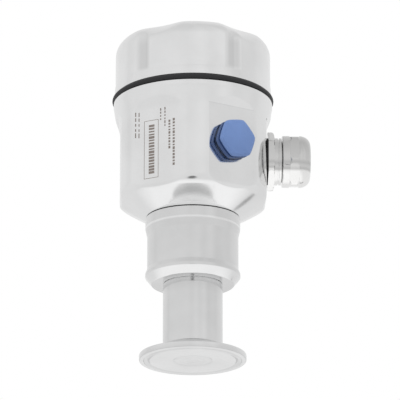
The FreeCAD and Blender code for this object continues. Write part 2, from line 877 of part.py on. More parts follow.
def vent_plug():
    """Breather cap on the outside of a flat, with cross slots and a shank that holds the membrane."""
    body = turned([
        (vent_bore, -housing_wall),
        (vent_shank_radius, -housing_wall),
        (vent_shank_radius, 0),
        (vent_radius, 0),
        (vent_radius, vent_height - vent_edge),
        (vent_radius - vent_edge, vent_height),
        (vent_bore, vent_height),
        (vent_bore, vent_chamber),
        (vent_membrane_radius, vent_chamber),
        (vent_membrane_radius, 0),
        (vent_bore, 0),
    ])
    slot = block(2 * vent_radius, vent_slot_width, vent_height - vent_slot_depth, vent_height)
    slots = [slot, turned_to(slot, 90)]
    return on_flat(body.cut(Part.makeCompound(slots)), vent_angle)


def vent_membrane():
    """Thin breathing disc inside the breather."""
    return on_flat(rod(vent_membrane_radius - weld_gap, 0, vent_membrane_thickness), vent_angle)


def electronics_insert():
    """Moulded tub: round flange on the lugs, drum with a ledge for the board and a notch for the wiring."""
    outer_wall = insert_drum_radius - insert_wall
    tub = turned([
        (0, insert_bottom),
        (insert_flange_radius, insert_bottom),
        (insert_flange_radius, insert_bottom + insert_flange),
        (insert_drum_radius, insert_bottom + insert_flange),
        (insert_drum_radius, drum_top),
        (outer_wall, drum_top),
        (outer_wall, board_seat),
        (outer_wall - insert_board_ledge, board_seat),
        (outer_wall - insert_board_ledge, insert_bottom + insert_floor),
        (0, insert_bottom + insert_floor),
    ])
    notch_depth = insert_flange_radius - insert_drum_radius
    notch = turned_to(
        block(notch_depth, insert_notch_width, insert_bottom, insert_bottom + insert_flange,
              insert_drum_radius + notch_depth), gland_angle)
    hole = shifted(rod(insert_screw_radius + 2 * seat_gap, insert_bottom, insert_bottom + insert_flange),
                   insert_screw_circle, 0)
    return tub.cut(Part.makeCompound([notch] + around(hole, lug_count, lug_first)))


def insert_screws():
    """Pan-head screws that hold the insert's flange on the housing's lugs."""
    seat = insert_bottom + insert_flange
    screw = rod(insert_screw_radius, insert_bottom - insert_screw_depth, seat + seat_gap)
    head = rod(insert_screw_head, seat, seat + insert_screw_head_height)
    whole = slotted(screw.fuse(head).removeSplitter(), insert_screw_head, seat + insert_screw_head_height)
    return Part.makeCompound(around(shifted(whole, insert_screw_circle, 0), lug_count, lug_first))


def slotted(screw, head_radius, top):
    """A screw with a straight driver slot across its head."""
    return screw.cut(block(2 * head_radius + seat_gap, screw_slot, top - screw_slot_depth, top))


def circuit_board():
    """Round board on the insert's ledge."""
    return rod(insert_drum_radius - insert_wall - seat_gap, board_seat, board_seat + insert_board_thickness)


def key_places():
    """Middle lines of the two adjusting keys."""
    return [(-key_spacing / 2, key_back), (key_spacing / 2, key_back)]


def terminal_plate():
    """Lid of the insert, with holes for the keys."""
    plate = rod(insert_drum_radius, drum_top, plate_top)
    holes = [shifted(rod(key_radius + moving_gap, drum_top, plate_top), x, y) for x, y in key_places()]
    return plate.cut(Part.makeCompound(holes))


def terminal_places():
    """Middle lines of the terminals along the block."""
    middle = (terminal_count - 1) / 2
    return [(terminal_spacing * (index - middle), terminal_back) for index in range(terminal_count)]


def terminal_block():
    """Terminal block with a screw well and a wire hole for each terminal."""
    top = plate_top + terminal_height
    body = block(terminal_width, terminal_depth, plate_top, top, 0, terminal_back)
    well_floor = top - terminal_screw_sink - terminal_screw_length - seat_gap
    wire_height = plate_top + (well_floor - plate_top) / 2
    cuts = []
    for x, y in terminal_places():
        cuts.append(shifted(rod(terminal_screw_radius + seat_gap, well_floor, top), x, y))
        mouth = Vector(x, terminal_back - terminal_depth / 2, wire_height)
        cuts.append(Part.makeCylinder(terminal_wire_radius, terminal_depth / 2, mouth, Vector(0, 1, 0)))
    return body.cut(Part.makeCompound(cuts))


def terminal_screws():
    """Slotted clamping screws in the terminal block."""
    top = plate_top + terminal_height - terminal_screw_sink
    shank = rod(terminal_screw_radius, top - terminal_screw_length, top)
    screw = slotted(shank, terminal_screw_radius, top)
    return Part.makeCompound([shifted(screw, x, y) for x, y in terminal_places()])


def adjusting_key(place):
    """Push key: cap through the plate, flange that keeps it in and a stem down to the board."""
    flange_top = drum_top - seat_gap
    flange_bottom = flange_top - key_flange_height
    stem_bottom = board_seat + insert_board_thickness + key_travel + seat_gap
    key = turned([
        (0, stem_bottom),
        (key_stem_radius, stem_bottom),
        (key_stem_radius, flange_bottom),
        (key_radius + key_flange, flange_bottom),
        (key_radius + key_flange, flange_top),
        (key_radius, flange_top),
        (key_radius, plate_top + key_rise),
        (0, plate_top + key_rise),
    ])
    return shifted(key, place[0], place[1])


def sensor_socket():
    """Open socket on the underside of the insert for the sensor's lead."""
    bottom = insert_bottom - socket_height
    body = block(socket_width, socket_depth, bottom, insert_bottom)
    hollow = block(socket_width - 2 * socket_wall, socket_depth - 2 * socket_wall, bottom,
                   insert_bottom - 2 * socket_wall)
    return body.cut(hollow)


def earth_clamp():
    """Square clamp plate under the earth screw."""
    top = earth_seat + earth_clamp_thickness
    plate = block(earth_clamp_side, earth_clamp_side, earth_seat, top)
    hole = rod(earth_screw_radius + seat_gap, earth_seat, top)
    return turned_to(shifted(plate.cut(hole), earth_circle, 0), earth_angle)


def earth_screw():
    """Slotted screw that clamps the earth wire."""
    clamp_top = earth_seat + earth_clamp_thickness
    top = clamp_top + earth_screw_head_height
    shank = rod(earth_screw_radius, earth_seat - earth_screw_depth, top)
    head = rod(earth_screw_head, clamp_top, top)
    whole = slotted(shank.fuse(head).removeSplitter(), earth_screw_head, top)
    return turned_to(shifted(whole, earth_circle, 0), earth_angle)


def sub_parts():
    """Every piece of the transmitter under its own name."""
    zero_place, span_place = key_places()
    return {
        "process_connector": process_connector(),
        "isolating_diaphragm": isolating_diaphragm(),
        "sensor_body": sensor_body(),
        "sensing_cell": sensing_cell(),
        "cell_pins": cell_pins(),
        "sensor_board": sensor_board(),
        "swivel_seal": swivel_seal(),
        "swivel_circlip": swivel_circlip(),
        "swivel_set_screw": swivel_set_screw(),
        "housing_body": housing_body(),
        "cover": cover(),
        "cover_seal": cover_seal(),
        "gland_body": gland_body(),
        "gland_gasket": gland_gasket_ring(),
        "gland_grommet": gland_grommet(),
        "gland_cage": gland_cage(),
        "gland_nut": gland_nut(),
        "blanking_plug": blanking_plug(),
        "plug_seal": plug_seal(),
        "vent_plug": vent_plug(),
        "vent_membrane": vent_membrane(),
        "electronics_insert": electronics_insert(),
        "insert_screws": insert_screws(),
        "circuit_board": circuit_board(),
        "terminal_plate": terminal_plate(),
        "terminal_block": terminal_block(),
        "terminal_screws": terminal_screws(),
        "zero_key": adjusting_key(zero_place),
        "span_key": adjusting_key(span_place),
        "sensor_socket": sensor_socket(),
        "earth_clamp": earth_clamp(),
        "earth_screw": earth_screw(),
    }


os.makedirs("parts", exist_ok=True)
for name, shape in sub_parts().items():
    shape.exportStep(os.path.join("parts", name + ".step"))
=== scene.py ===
"""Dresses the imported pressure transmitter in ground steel, rubber and moulded plastic, in a plain studio."""
import math

import bmesh
import bpy
import numpy as np
from mathutils import Matrix, Vector


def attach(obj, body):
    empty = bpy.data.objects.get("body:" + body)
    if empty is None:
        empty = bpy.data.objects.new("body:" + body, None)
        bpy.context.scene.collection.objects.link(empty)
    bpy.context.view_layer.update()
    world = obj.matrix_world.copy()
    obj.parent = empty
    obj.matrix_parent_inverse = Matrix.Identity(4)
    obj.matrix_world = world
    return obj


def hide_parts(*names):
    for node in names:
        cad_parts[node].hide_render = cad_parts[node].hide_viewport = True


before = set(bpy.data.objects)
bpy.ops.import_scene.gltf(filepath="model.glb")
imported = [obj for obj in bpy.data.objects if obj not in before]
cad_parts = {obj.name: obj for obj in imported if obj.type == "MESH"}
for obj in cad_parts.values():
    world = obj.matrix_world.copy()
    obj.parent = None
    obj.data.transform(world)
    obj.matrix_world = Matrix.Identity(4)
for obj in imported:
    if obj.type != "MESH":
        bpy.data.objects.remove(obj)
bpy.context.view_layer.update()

bl_info = {
    "name": "Pressure Transmitter",
    "version": (1, 0, 0),
    "blender": (4, 5, 0),
    "location": "3D View > Sidebar > Transmitter",
    "description": "Builds the finished pieces of a hygienic pressure transmitter around its packed frame",
    "category": "Object",
}

TURN = 2 * math.pi
FLAT_STEP = TURN / 6
ROUND_COLUMNS = 360
HOUSING_COLUMNS = 480
SHARP_ANGLE = math.radians(38)
POLE_RADIUS = 1e-7
# Chamfers at the ends of the threads, and at the outer end of the gland's cap thread
THREAD_CHAMFER = 0.0004
CAP_CHAMFER = 0.0003
# A thread's flanks: how steep they are and where they start
FLANK_SLOPE = 2.4
FLANK_START = 0.7


# Properties

def length(name, description, default):
    """A size in metres."""
    return bpy.props.FloatProperty(
        name=name, description=description, default=default, unit="LENGTH", precision=5)


def bearing(name, description, degrees):
    """An angle, given in degrees."""
    return bpy.props.FloatProperty(
        name=name, description=description, default=math.radians(degrees), subtype="ANGLE")


def number(name, description, default):
    """A plain number."""
    return bpy.props.FloatProperty(name=name, description=description, default=default)


def tint(name, description, default):
    """A linear colour."""
    return bpy.props.FloatVectorProperty(
        name=name, description=description, default=default, subtype="COLOR", size=3, min=0.0, max=1.0)


class HousingSizes(bpy.types.PropertyGroup):
    """Round housing with six flats."""
    bottom: length("Bottom", "Height of the underside", 0.0700)
    foot_radius: length("Foot radius", "Radius where the rounded underside starts", 0.0224)
    dome_bulge: length("Dome bulge", "Rise of the rounded underside over its chord", 0.0003)
    shoulder: length("Shoulder", "Height where the underside meets the wall", 0.0786)
    shoulder_rounding: length("Shoulder rounding", "Radius of that corner", 0.0060)
    body_radius: length("Body radius", "Radius of the round strips between the flats", 0.0370)
    flat_apothem: length("Flat distance", "Distance of a flat from the axis", 0.0346)
    flat_foot: length("Flat foot", "Rounding at the foot of a flat", 0.0035)
    runout_top: length("Runout top", "Height where a flat has run out", 0.1240)
    runout: length("Runout", "Height of the S-curve that a flat runs out in", 0.0100)
    edge_ease: length("Edge ease", "Softness of the edges beside the flats", 0.0007)
    face_ease: length("Face ease", "Softness of the edges beside the milled entry faces", 0.0002)
    face_top: length("Face top", "Upper end of the milled entry faces", 0.1165)
    lip_radius: length("Lip radius", "Radius of the rim's lip", 0.0380)
    lip_bottom: length("Lip bottom", "Height of the lip's lower edge", 0.1252)
    flare: length("Flare", "Height of the flare under the lip", 0.0090)
    rim_top: length("Rim top", "Height of the rim", 0.1272)
    rim_edge: length("Rim edge", "Rounding of the rim", 0.0003)
    thread_radius: length("Thread radius", "Radius over the cover's thread", 0.0333)
    thread_top: length("Thread top", "Height of the threaded neck", 0.1390)
    thread_bore: length("Thread bore", "Bore of the threaded neck", 0.0309)
    thread_pitch: length("Thread pitch", "Rise of the thread in one turn", 0.0020)
    thread_depth: length("Thread depth", "Depth of the thread", 0.0009)
    cavity_radius: length("Cavity radius", "Radius of the inside", 0.0316)
    floor: length("Floor", "Height of the inside floor", 0.0760)
    bevel_width: length("Bevel width", "Width of the bevel round the inside floor", 0.0065)
    bevel_height: length("Bevel height", "Height of the bevel round the inside floor", 0.0040)
    hub_radius: length("Hub radius", "Radius of the swivel hub", 0.0215)
    hub_top: length("Hub top", "Height of the swivel hub", 0.0820)
    hub_bore: length("Hub bore", "Bore of the swivel hub", 0.01708)


class CoverSizes(bpy.types.PropertyGroup):
    """Screw cover with flutes and scoops."""
    bottom: length("Skirt bottom", "Height of the skirt's lower edge", 0.1302)
    radius: length("Ring radius", "Radius of the base ring", 0.0374)
    ring_top: length("Ring top", "Height of the base ring", 0.1346)
    ring_edge: length("Ring edge", "Rounding of the base ring", 0.0001)
    skirt_edge: length("Skirt edge", "Rounding of the skirt's lower edge", 0.0004)
    lobe_radius: length("Lobe radius", "Radius of the lobes", 0.0371)
    top: length("Top", "Height where the rounding meets the crown", 0.1589)
    rounding: length("Rounding", "Radius of the rounding to the crown", 0.0080)
    crown: length("Crown", "Rise of the crown", 0.0008)
    flutes: bpy.props.IntProperty(name="Flutes", description="Number of flutes", default=5, min=3)
    flute_first: bearing("First flute", "Bearing of the first flute", -60.0)
    flute_radius: length("Flute radius", "Radius of a flute", 0.0055)
    flute_depth: length("Flute depth", "Depth of a flute", 0.0012)
    scoop_offset: bearing("Scoop offset", "Turn from a flute to its scoop", 11.0)
    scoop_radius: length("Scoop radius", "Radius of a scoop", 0.0360)
    scoop_slope: bearing("Scoop slope", "Slope of a scoop's valley", 42.0)
    scoop_drop: length("Scoop drop", "Depth of the valley under the top, at the ring's radius", 0.0070)
    flute_ease: length("Flute ease", "Softness of the flutes' edges", 0.0016)
    scoop_ease: length("Scoop ease", "Softness of the scoops' edges", 0.0032)
    bore: length("Bore", "Bore over the thread", 0.0336)
    thread_end: length("Thread end", "Height where the threaded bore ends", 0.1410)
    inner_radius: length("Inner radius", "Radius of the inside", 0.0306)
    inner_top: length("Inner top", "Height of the inside", 0.1555)
    inner_rounding: length("Inner rounding", "Rounding of the inside", 0.0020)


class GlandSizes(bpy.types.PropertyGroup):
    """Cable gland: body with hexagon flange, and cap nut. Distances run from the flat along the gland."""
    entry_height: length("Entry height", "Height of the entries' axes", 0.0991)
    bore: length("Bore", "Bore of the body", 0.0065)
    shank_start: length("Shank start", "Inner end of the shank", -0.0090)
    thread_radius: length("Thread radius", "Radius of the entry thread", 0.0100)
    flange_start: length("Flange start", "Inner face of the flange", 0.0010)
    flange_end: length("Flange end", "Outer face of the flange", 0.0040)
    flange_apothem: length("Flange apothem", "Half the flange's width over its flats", 0.0126)
    flange_turn: bearing("Flange turn", "Turn of the flange", 4.5)
    neck_radius: length("Neck radius", "Radius of the neck", 0.0113)
    groove_start: length("Groove start", "Inner side of the neck's groove", 0.00576)
    groove_width: length("Groove width", "Width and depth of the neck's groove", 0.0006)
    neck_end: length("Neck end", "End of the neck", 0.0074)
    cap_thread: length("Cap thread", "Radius of the thread under the nut", 0.0096)
    end: length("End", "Outer end of the body", 0.0160)
    pocket_radius: length("Pocket radius", "Radius of the grommet's pocket", 0.0082)
    pocket_start: length("Pocket start", "Floor of the grommet's pocket", 0.0074)
    thread_pitch: length("Thread pitch", "Rise of the threads in one turn", 0.0015)
    thread_depth: length("Thread depth", "Depth of the threads", 0.0006)
    nut_start: length("Nut start", "Inner end of the nut", 0.0079)
    nut_hex_start: length("Nut hexagon start", "Inner side of the hexagon band", 0.0113)
    nut_hex_end: length("Nut hexagon end", "Outer side of the hexagon band", 0.0160)
    nut_end: length("Nut end", "Outer end of the nut", 0.0213)
    nut_floor: length("Nut floor", "Inside floor of the nut", 0.0199)
    nut_radius: length("Nut radius", "Radius of the collar", 0.0124)
    nut_apothem: length("Nut apothem", "Half the nut's width over its flats", 0.0118)
    nut_corner: length("Nut corner", "Radius over the hexagon's corners", 0.0131)
    nut_turn: bearing("Nut turn", "Turn of the hexagon band", -15.0)
    nut_thread: length("Nut thread", "Radius of the nut's thread", 0.0099)
    nut_end_radius: length("Nut end radius", "Radius of the flat outer end", 0.0081)
    nut_mouth: length("Nut mouth", "Radius of the cable's mouth", 0.0066)


class PlugSizes(bpy.types.PropertyGroup):
    """Blanking plug. Distances run from the flat along the plug."""
    bearing: bearing("Bearing", "Bearing of the plug's flat", -60.0)
    turn: bearing("Turn", "Turn of the hexagon", -19.0)
    apothem: length("Apothem", "Half the width over the flats", 0.00895)
    corner: length("Corner", "Radius over the corners", 0.00985)
    corner_ease: length("Corner ease", "Softness of the corners", 0.0012)
    start: length("Start", "Inner face of the base", 0.0011)
    base_end: length("Base end", "Outer face of the base", 0.0031)
    head_start: length("Head start", "Inner face of the head", 0.0045)
    end: length("End", "Outer face of the head", 0.0065)
    bevel: length("Bevel", "Bevel round the head", 0.0010)
    groove_radius: length("Groove radius", "Radius of the groove between base and head", 0.00805)
    shank_radius: length("Shank radius", "Radius of the threaded shank", 0.0080)
    shank_end: length("Shank end", "Inner end of the shank", -0.0080)
    hollow: length("Hollow", "Radius of the shank's hollow", 0.0064)


class FittingSizes(bpy.types.PropertyGroup):
    """Clamp ferrule with its neck, and the collar of the sensor body."""
    face_radius: length("Ferrule radius", "Radius of the clamp ferrule", 0.02525)
    rim: length("Rim", "Height of the ferrule's rim", 0.00285)
    rim_edge: length("Rim edge", "Rounding of the rim", 0.0006)
    back_angle: bearing("Back angle", "Slope of the ferrule's back", 20.0)
    groove_radius: length("Groove radius", "Radius of the gasket groove", 0.0218)
    groove_width: length("Groove width", "Width of the gasket groove", 0.0029)
    groove_depth: length("Groove depth", "Depth of the gasket groove", 0.0012)
    diaphragm: length("Diaphragm", "Radius of the diaphragm's bed", 0.00905)
    neck_radius: length("Neck radius", "Radius of the neck", 0.0141)
    neck_fillet: length("Neck fillet", "Fillet between neck and ferrule", 0.0008)
    neck_top: length("Neck top", "Height of the neck", 0.0372)
    parting: length("Parting groove", "Width and depth of the groove at the neck's top", 0.0004)
    spigot: length("Spigot", "Radius of the neck's spigot", 0.0090)
    spigot_top: length("Spigot top", "Height of the neck's spigot", 0.0402)
    capillary: length("Capillary", "Radius of the oil capillary", 0.0015)
    foot_radius: length("Foot radius", "Radius of the collar's foot", 0.0195)
    band_radius: length("Band radius", "Radius of the collar's bands", 0.0225)
    waist_radius: length("Waist radius", "Radius between the bands", 0.0216)
    lower_band_bottom: length("Lower band bottom", "Height of the lower band's lower edge", 0.0409)
    lower_band_top: length("Lower band top", "Height of the lower band's upper edge", 0.0423)
    waist_bottom: length("Waist bottom", "Height where the waist starts", 0.0445)
    waist_top: length("Waist top", "Height where the waist ends", 0.0607)
    upper_band_bottom: length("Upper band bottom", "Height of the upper band's lower edge", 0.0645)
    collar_top: length("Collar top", "Height of the collar", 0.0697)
    swivel_radius: length("Swivel radius", "Radius of the swivel spigot", 0.0170)
    seal_groove_bottom: length("Seal groove bottom", "Height of the seal groove's lower side", 0.07495)
    seal_groove_top: length("Seal groove top", "Height of the seal groove's upper side", 0.07705)
    seal_groove_depth: length("Seal groove depth", "Depth of the seal groove", 0.0021)
    circlip_groove_bottom: length("Circlip groove bottom", "Height of the circlip groove's lower side", 0.08205)
    circlip_groove_top: length("Circlip groove top", "Height of the circlip groove's upper side", 0.08335)
    circlip_groove_depth: length("Circlip groove depth", "Depth of the circlip groove", 0.0010)
    swivel_top: length("Swivel top", "Height of the swivel spigot", 0.0848)
    bore: length("Bore", "Bore for the sensing cell", 0.0136)
    cell_seat: length("Cell seat", "Height of the sensing cell's seat", 0.0460)


class LabelSizes(bpy.types.PropertyGroup):
    """Plain marks on a flat: a framed field of bars and columns of dashes."""
    bearing: bearing("Bearing", "Bearing of the marked flat", -120.0)
    thickness: length("Thickness", "Height of the marks over the flat", 0.00003)
    line: length("Line", "Width of the frame's lines", 0.00022)
    shortest: number("Shortest", "Shortest dash, as a share of its place", 0.45)
    longest: number("Longest", "Longest dash, as a share of its place", 0.90)
    seed: bpy.props.IntProperty(name="Seed", description="Seed of the dashes' lengths", default=7)


class Finishes(bpy.types.PropertyGroup):
    """Colours of the finishes."""
    housing_steel: tint("Housing steel", "Ground steel of housing and cover", (0.86, 0.862, 0.864))
    turned_steel: tint("Turned steel", "Turned steel of fitting and sensor body", (0.90, 0.902, 0.904))
    gland_metal: tint("Gland metal", "Bright plating of the gland", (0.95, 0.946, 0.940))
    fastener_steel: tint("Fastener steel", "Plated steel of the screws", (0.58, 0.58, 0.59))
    rubber: tint("Rubber", "Rubber of the seals", (0.022, 0.022, 0.024))
    plug_plastic: tint("Plug plastic", "Moulded plastic of the plug", (0.165, 0.275, 0.575))
    # Painted shade: the plug's base, which faces away from the light, in a darker blue
    plug_base: tint("Plug base", "Darker moulding of the plug's base", (0.055, 0.105, 0.260))
    plug_rubber: tint("Plug rubber", "Rubber of the plug's seal", (0.030, 0.048, 0.100))
    insert_plastic: tint("Insert plastic", "Moulded plastic of the insert", (0.060, 0.062, 0.066))
    terminal_plastic: tint("Terminal plastic", "Moulded plastic of the terminals", (0.10, 0.25, 0.14))
    key_plastic: tint("Key plastic", "Moulded plastic of the keys", (0.45, 0.46, 0.47))
    board: tint("Board", "Solder resist of the boards", (0.020, 0.130, 0.060))
    membrane: tint("Membrane", "Porous sheet of the breather", (0.80, 0.80, 0.78))
    ink: tint("Ink", "Laser marks", (0.25, 0.215, 0.195))


class StudioSettings(bpy.types.PropertyGroup):
    """Camera and light."""
    azimuth: bearing("Azimuth", "Bearing of the camera", -2.0)
    elevation: bearing("Elevation", "Height angle of the camera", -18.0)
    distance: length("Distance", "Distance of the camera", 1.8)
    aim_height: length("Aim height", "Height of the picture's middle", 0.0795)
    aim_side: length("Aim side", "Picture's middle to the right of the axis", 0.00341)
    lens: number("Lens", "Focal length on a 36 mm picture", 340.6)
    room_light: number("Room light", "Strength of the room on matt surfaces", 0.62)
    key_power: number("Key power", "Power of the main lamp in watts", 9.0)
    fill_power: number("Fill power", "Power of the second lamp in watts", 5.0)


# Mesh helpers

def soft_min(first, second, ease):
    """The smaller of two values, with a rounded change from one to the other."""
    first = np.asarray(first, float)
    second = np.asarray(second, float)
    overlap = np.maximum(ease - np.abs(first - second), 0.0) / ease
    return np.minimum(first, second) - overlap * overlap * ease / 4


def bearings(columns=ROUND_COLUMNS):
    """Bearings of a ring's points."""
    return np.arange(columns) * TURN / columns


def flat_reach(apothem, turn, count, columns=ROUND_COLUMNS):
    """Distance from the axis to the sides of a regular prism, whose first corner is at turn."""
    step = TURN / count
    offset = np.mod(bearings(columns) - turn, step) - step / 2
    return apothem / np.cos(offset)


def eased(corners, steps=5):
    """A (radius, height) outline whose corners are rounded: each corner is (radius, height, rounding)."""
    points = []
    for index, (radius, height, rounding) in enumerate(corners):
        here = Vector((radius, height))
        if rounding == 0:
            points.append(here)
            continue
        before = Vector(corners[index - 1][:2]) - here
        after = Vector(corners[(index + 1) % len(corners)][:2]) - here
        half = before.angle(after) / 2
        centre = here + (before.normalized() + after.normalized()).normalized() * (rounding / math.sin(half))
        reach = rounding / math.tan(half)
        start = here + before.normalized() * reach - centre
        end = here + after.normalized() * reach - centre
        sweep = start.angle(end)
        for step in range(steps + 1):
            part = step / steps
            turned = (start * math.sin((1 - part) * sweep) + end * math.sin(part * sweep)) / math.sin(sweep)
            points.append(centre + turned)
    return [(point.x, point.y) for point in points]


def thread_rows(radius, depth, pitch, start, end, columns=ROUND_COLUMNS, per_turn=10):
    """Rings of a helical thread that fades out at both ends; a negative depth cuts outwards."""
    count = max(2, int(round(abs(end - start) / pitch * per_turn)))
    rows = []
    for step in range(count + 1):
        height = start + (end - start) * step / count
        phase = np.mod(height / pitch - bearings(columns) / TURN, 1.0)
        crest = np.clip(FLANK_SLOPE * np.abs(2 * phase - 1) - FLANK_START, 0.0, 1.0)
        fade = min(1.0, abs(height - start) / pitch, abs(end - height) / pitch)
        rows.append((radius - depth * fade * (1 - crest), height))
    return rows


def link(name, mesh):
    """A new object for a mesh, in the scene."""
    piece = bpy.data.objects.new(name, mesh)
    bpy.context.scene.collection.objects.link(piece)
    return piece


def smooth(mesh):
    """Smooth faces with sharp edges kept."""
    mesh.shade_smooth()
    mesh.set_sharp_from_angle(angle=SHARP_ANGLE)


def ring_piece(name, rows, place=Matrix.Identity(4), columns=ROUND_COLUMNS):
    """A closed piece of rings: a tube that closes on itself, or one with a pole where the radius is 0."""
    turns = bearings(columns)
    sides = np.stack([np.cos(turns), np.sin(turns)], axis=1)
    points = []
    rings = []
    for radii, heights in rows:
        radii = np.broadcast_to(np.asarray(radii, float), columns)
        heights = np.broadcast_to(np.asarray(heights, float), columns)
        if radii.max() < POLE_RADIUS:
            rings.append([len(points)] * columns)
            points.append((0.0, 0.0, float(heights[0])))
            continue
        rings.append(range(len(points), len(points) + columns))
        points.extend(np.column_stack([sides * radii[:, None], heights]).tolist())
    pairs = list(zip(rings, rings[1:]))
    if rings[0][0] != rings[0][1]:
        pairs.append((rings[-1], rings[0]))
    faces = []
    for low, high in pairs:
        for column in range(columns):
            after = (column + 1) % columns
            face = dict.fromkeys((low[column], low[after], high[after], high[column]))
            faces.append(tuple(face))
    mesh = bpy.data.meshes.new(name)
    mesh.from_pydata(points, [], faces)
    mesh.transform(place)
    shell = bmesh.new()
    shell.from_mesh(mesh)
    bmesh.ops.recalc_face_normals(shell, faces=shell.faces)
    shell.to_mesh(mesh)
    shell.free()
    smooth(mesh)
    return link(name, mesh)


def tool_rod(radius, start, end, place, sides=96):
    """Mesh data of a rod along +Z, for a Boolean."""
    shape = bmesh.new()
    bmesh.ops.create_cone(
        shape, cap_ends=True, segments=sides, radius1=radius, radius2=radius, depth=end - start,
        matrix=place @ Matrix.Translation((0, 0, (start + end) / 2)))
    return shape


def tool_block(low, high, place):
    """Mesh data of a block between two corners, for a Boolean."""
    shape = bmesh.new()
    low, high = Vector(low), Vector(high)
    spread = Matrix.Diagonal((*(high - low), 1.0))
    bmesh.ops.create_cube(shape, size=1.0, matrix=place @ Matrix.Translation((low + high) / 2) @ spread)
    return shape


def combine(piece, operation, shapes):
    """Adds shapes to a piece or cuts them out of it."""
    tools = []
    for shape in shapes:
        part = bpy.data.meshes.new("tool")
        shape.to_mesh(part)
        shape.free()
        tools.append(link("tool", part))
        step = piece.modifiers.new("shape", "BOOLEAN")
        step.operation = operation
        step.object = tools[-1]
        step.solver = "MANIFOLD"
    settle(piece)
    for tool in tools:
        bpy.data.objects.remove(tool)


def settle(piece):
    """Turns what a piece's modifiers make into its plain mesh."""
    bpy.context.view_layer.update()
    made = bpy.data.meshes.new_from_object(piece.evaluated_get(bpy.context.evaluated_depsgraph_get()))
    piece.modifiers.clear()
    piece.data = made


def on_flat(distance, height, turn):
    """Place of a piece that is drawn along +Z from the middle of a flat."""
    lie = Matrix.Rotation(math.pi / 2, 4, "Y")
    return Matrix.Rotation(turn, 4, "Z") @ Matrix.Translation((distance, 0, height)) @ lie


def stands_for(piece, node, body, material):
    """Sets a finished piece in the place of a CAD node."""
    piece.data.materials.clear()
    piece.data.materials.append(material)
    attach(piece, body)
    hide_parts(node)
    return piece


# Materials

class Wiring:
    """Adds nodes to a tree and joins their sockets."""

    def __init__(self, tree):
        self.tree = tree

    def put(self, node, socket, value):
        """Sets or joins one input."""
        target = node.inputs[socket]
        if isinstance(value, bpy.types.NodeSocket):
            self.tree.links.new(value, target)
        else:
            target.default_value = value

    def add(self, kind, inputs=None, **settings):
        """A new node with its settings and inputs."""
        node = self.tree.nodes.new(kind)
        for name, value in settings.items():
            setattr(node, name, value)
        for socket, value in (inputs or {}).items():
            self.put(node, socket, value)
        return node

    def maths(self, operation, first, second=0.0):
        """The result of a Math node."""
        return self.add("ShaderNodeMath", {0: first, 1: second}, operation=operation).outputs[0]


def shader_group(name, inputs, outputs):
    """An empty shader node group with named sockets; returns its wiring, its input node and its output node."""
    tree = bpy.data.node_groups.new(name, "ShaderNodeTree")
    for socket, kind, default in inputs:
        made = tree.interface.new_socket(socket, in_out="INPUT", socket_type=kind)
        if default is not None:
            made.default_value = default
    for socket, kind in outputs:
        tree.interface.new_socket(socket, in_out="OUTPUT", socket_type=kind)
    wiring = Wiring(tree)
    return wiring, wiring.add("NodeGroupInput"), wiring.add("NodeGroupOutput")


def ground_grain_group():
    """Fine lines round the axis, as a belt or a turning tool leaves them."""
    wiring, given, result = shader_group(
        "Ground grain",
        [("Vector", "NodeSocketVector", None), ("Along", "NodeSocketFloat", 60.0),
         ("Across", "NodeSocketFloat", 4000.0)],
        [("Height", "NodeSocketFloat")])
    scale = wiring.add("ShaderNodeCombineXYZ", {
        "X": given.outputs["Along"], "Y": given.outputs["Along"], "Z": given.outputs["Across"]})
    stretched = wiring.add("ShaderNodeVectorMath", {
        0: given.outputs["Vector"], 1: scale.outputs[0]}, operation="MULTIPLY")
    fine = wiring.add("ShaderNodeTexNoise", {
        "Vector": stretched.outputs[0], "Scale": 1.0, "Detail": 3.0, "Roughness": 0.6})
    wiring.put(result, "Height", fine.outputs["Fac"])
    return wiring.tree


def handling_group():
    """Soft patches and a few stray scratches from handling."""
    wiring, given, result = shader_group(
        "Handling marks",
        [("Vector", "NodeSocketVector", None), ("Patch scale", "NodeSocketFloat", 45.0),
         ("Scratch scale", "NodeSocketFloat", 240.0)],
        [("Patches", "NodeSocketFloat"), ("Scratches", "NodeSocketFloat")])
    patch = wiring.add("ShaderNodeTexNoise", {
        "Vector": given.outputs["Vector"], "Scale": given.outputs["Patch scale"], "Detail": 4.0, "Roughness": 0.55})
    spread = wiring.add("ShaderNodeMapRange", {
        "Value": patch.outputs["Fac"], "From Min": 0.3, "From Max": 0.7}, interpolation_type="SMOOTHSTEP")
    wiring.put(result, "Patches", spread.outputs["Result"])
    bent = wiring.add("ShaderNodeMapping", {
        "Vector": given.outputs["Vector"], "Rotation": (0.5, 0.3, 0.8), "Scale": (1.0, 0.06, 1.0)})
    stray = wiring.add("ShaderNodeTexNoise", {
        "Vector": bent.outputs["Vector"], "Scale": given.outputs["Scratch scale"], "Detail": 2.0})
    line = wiring.add("ShaderNodeMapRange", {
        "Value": stray.outputs["Fac"], "From Min": 0.66, "From Max": 0.74})
    wiring.put(result, "Scratches", line.outputs["Result"])
    return wiring.tree


def moulded_group():
    """Fine skin of a moulded or rubber part."""
    wiring, given, result = shader_group(
        "Moulded skin",
        [("Vector", "NodeSocketVector", None), ("Grain scale", "NodeSocketFloat", 2600.0),
         ("Flow scale", "NodeSocketFloat", 90.0)],
        [("Grain", "NodeSocketFloat"), ("Flow", "NodeSocketFloat")])
    grain = wiring.add("ShaderNodeTexNoise", {
        "Vector": given.outputs["Vector"], "Scale": given.outputs["Grain scale"], "Detail": 2.0})
    flow = wiring.add("ShaderNodeTexNoise", {
        "Vector": given.outputs["Vector"], "Scale": given.outputs["Flow scale"], "Detail": 3.0, "Distortion": 0.6})
    wiring.put(result, "Grain", grain.outputs["Fac"])
    wiring.put(result, "Flow", flow.outputs["Fac"])
    return wiring.tree


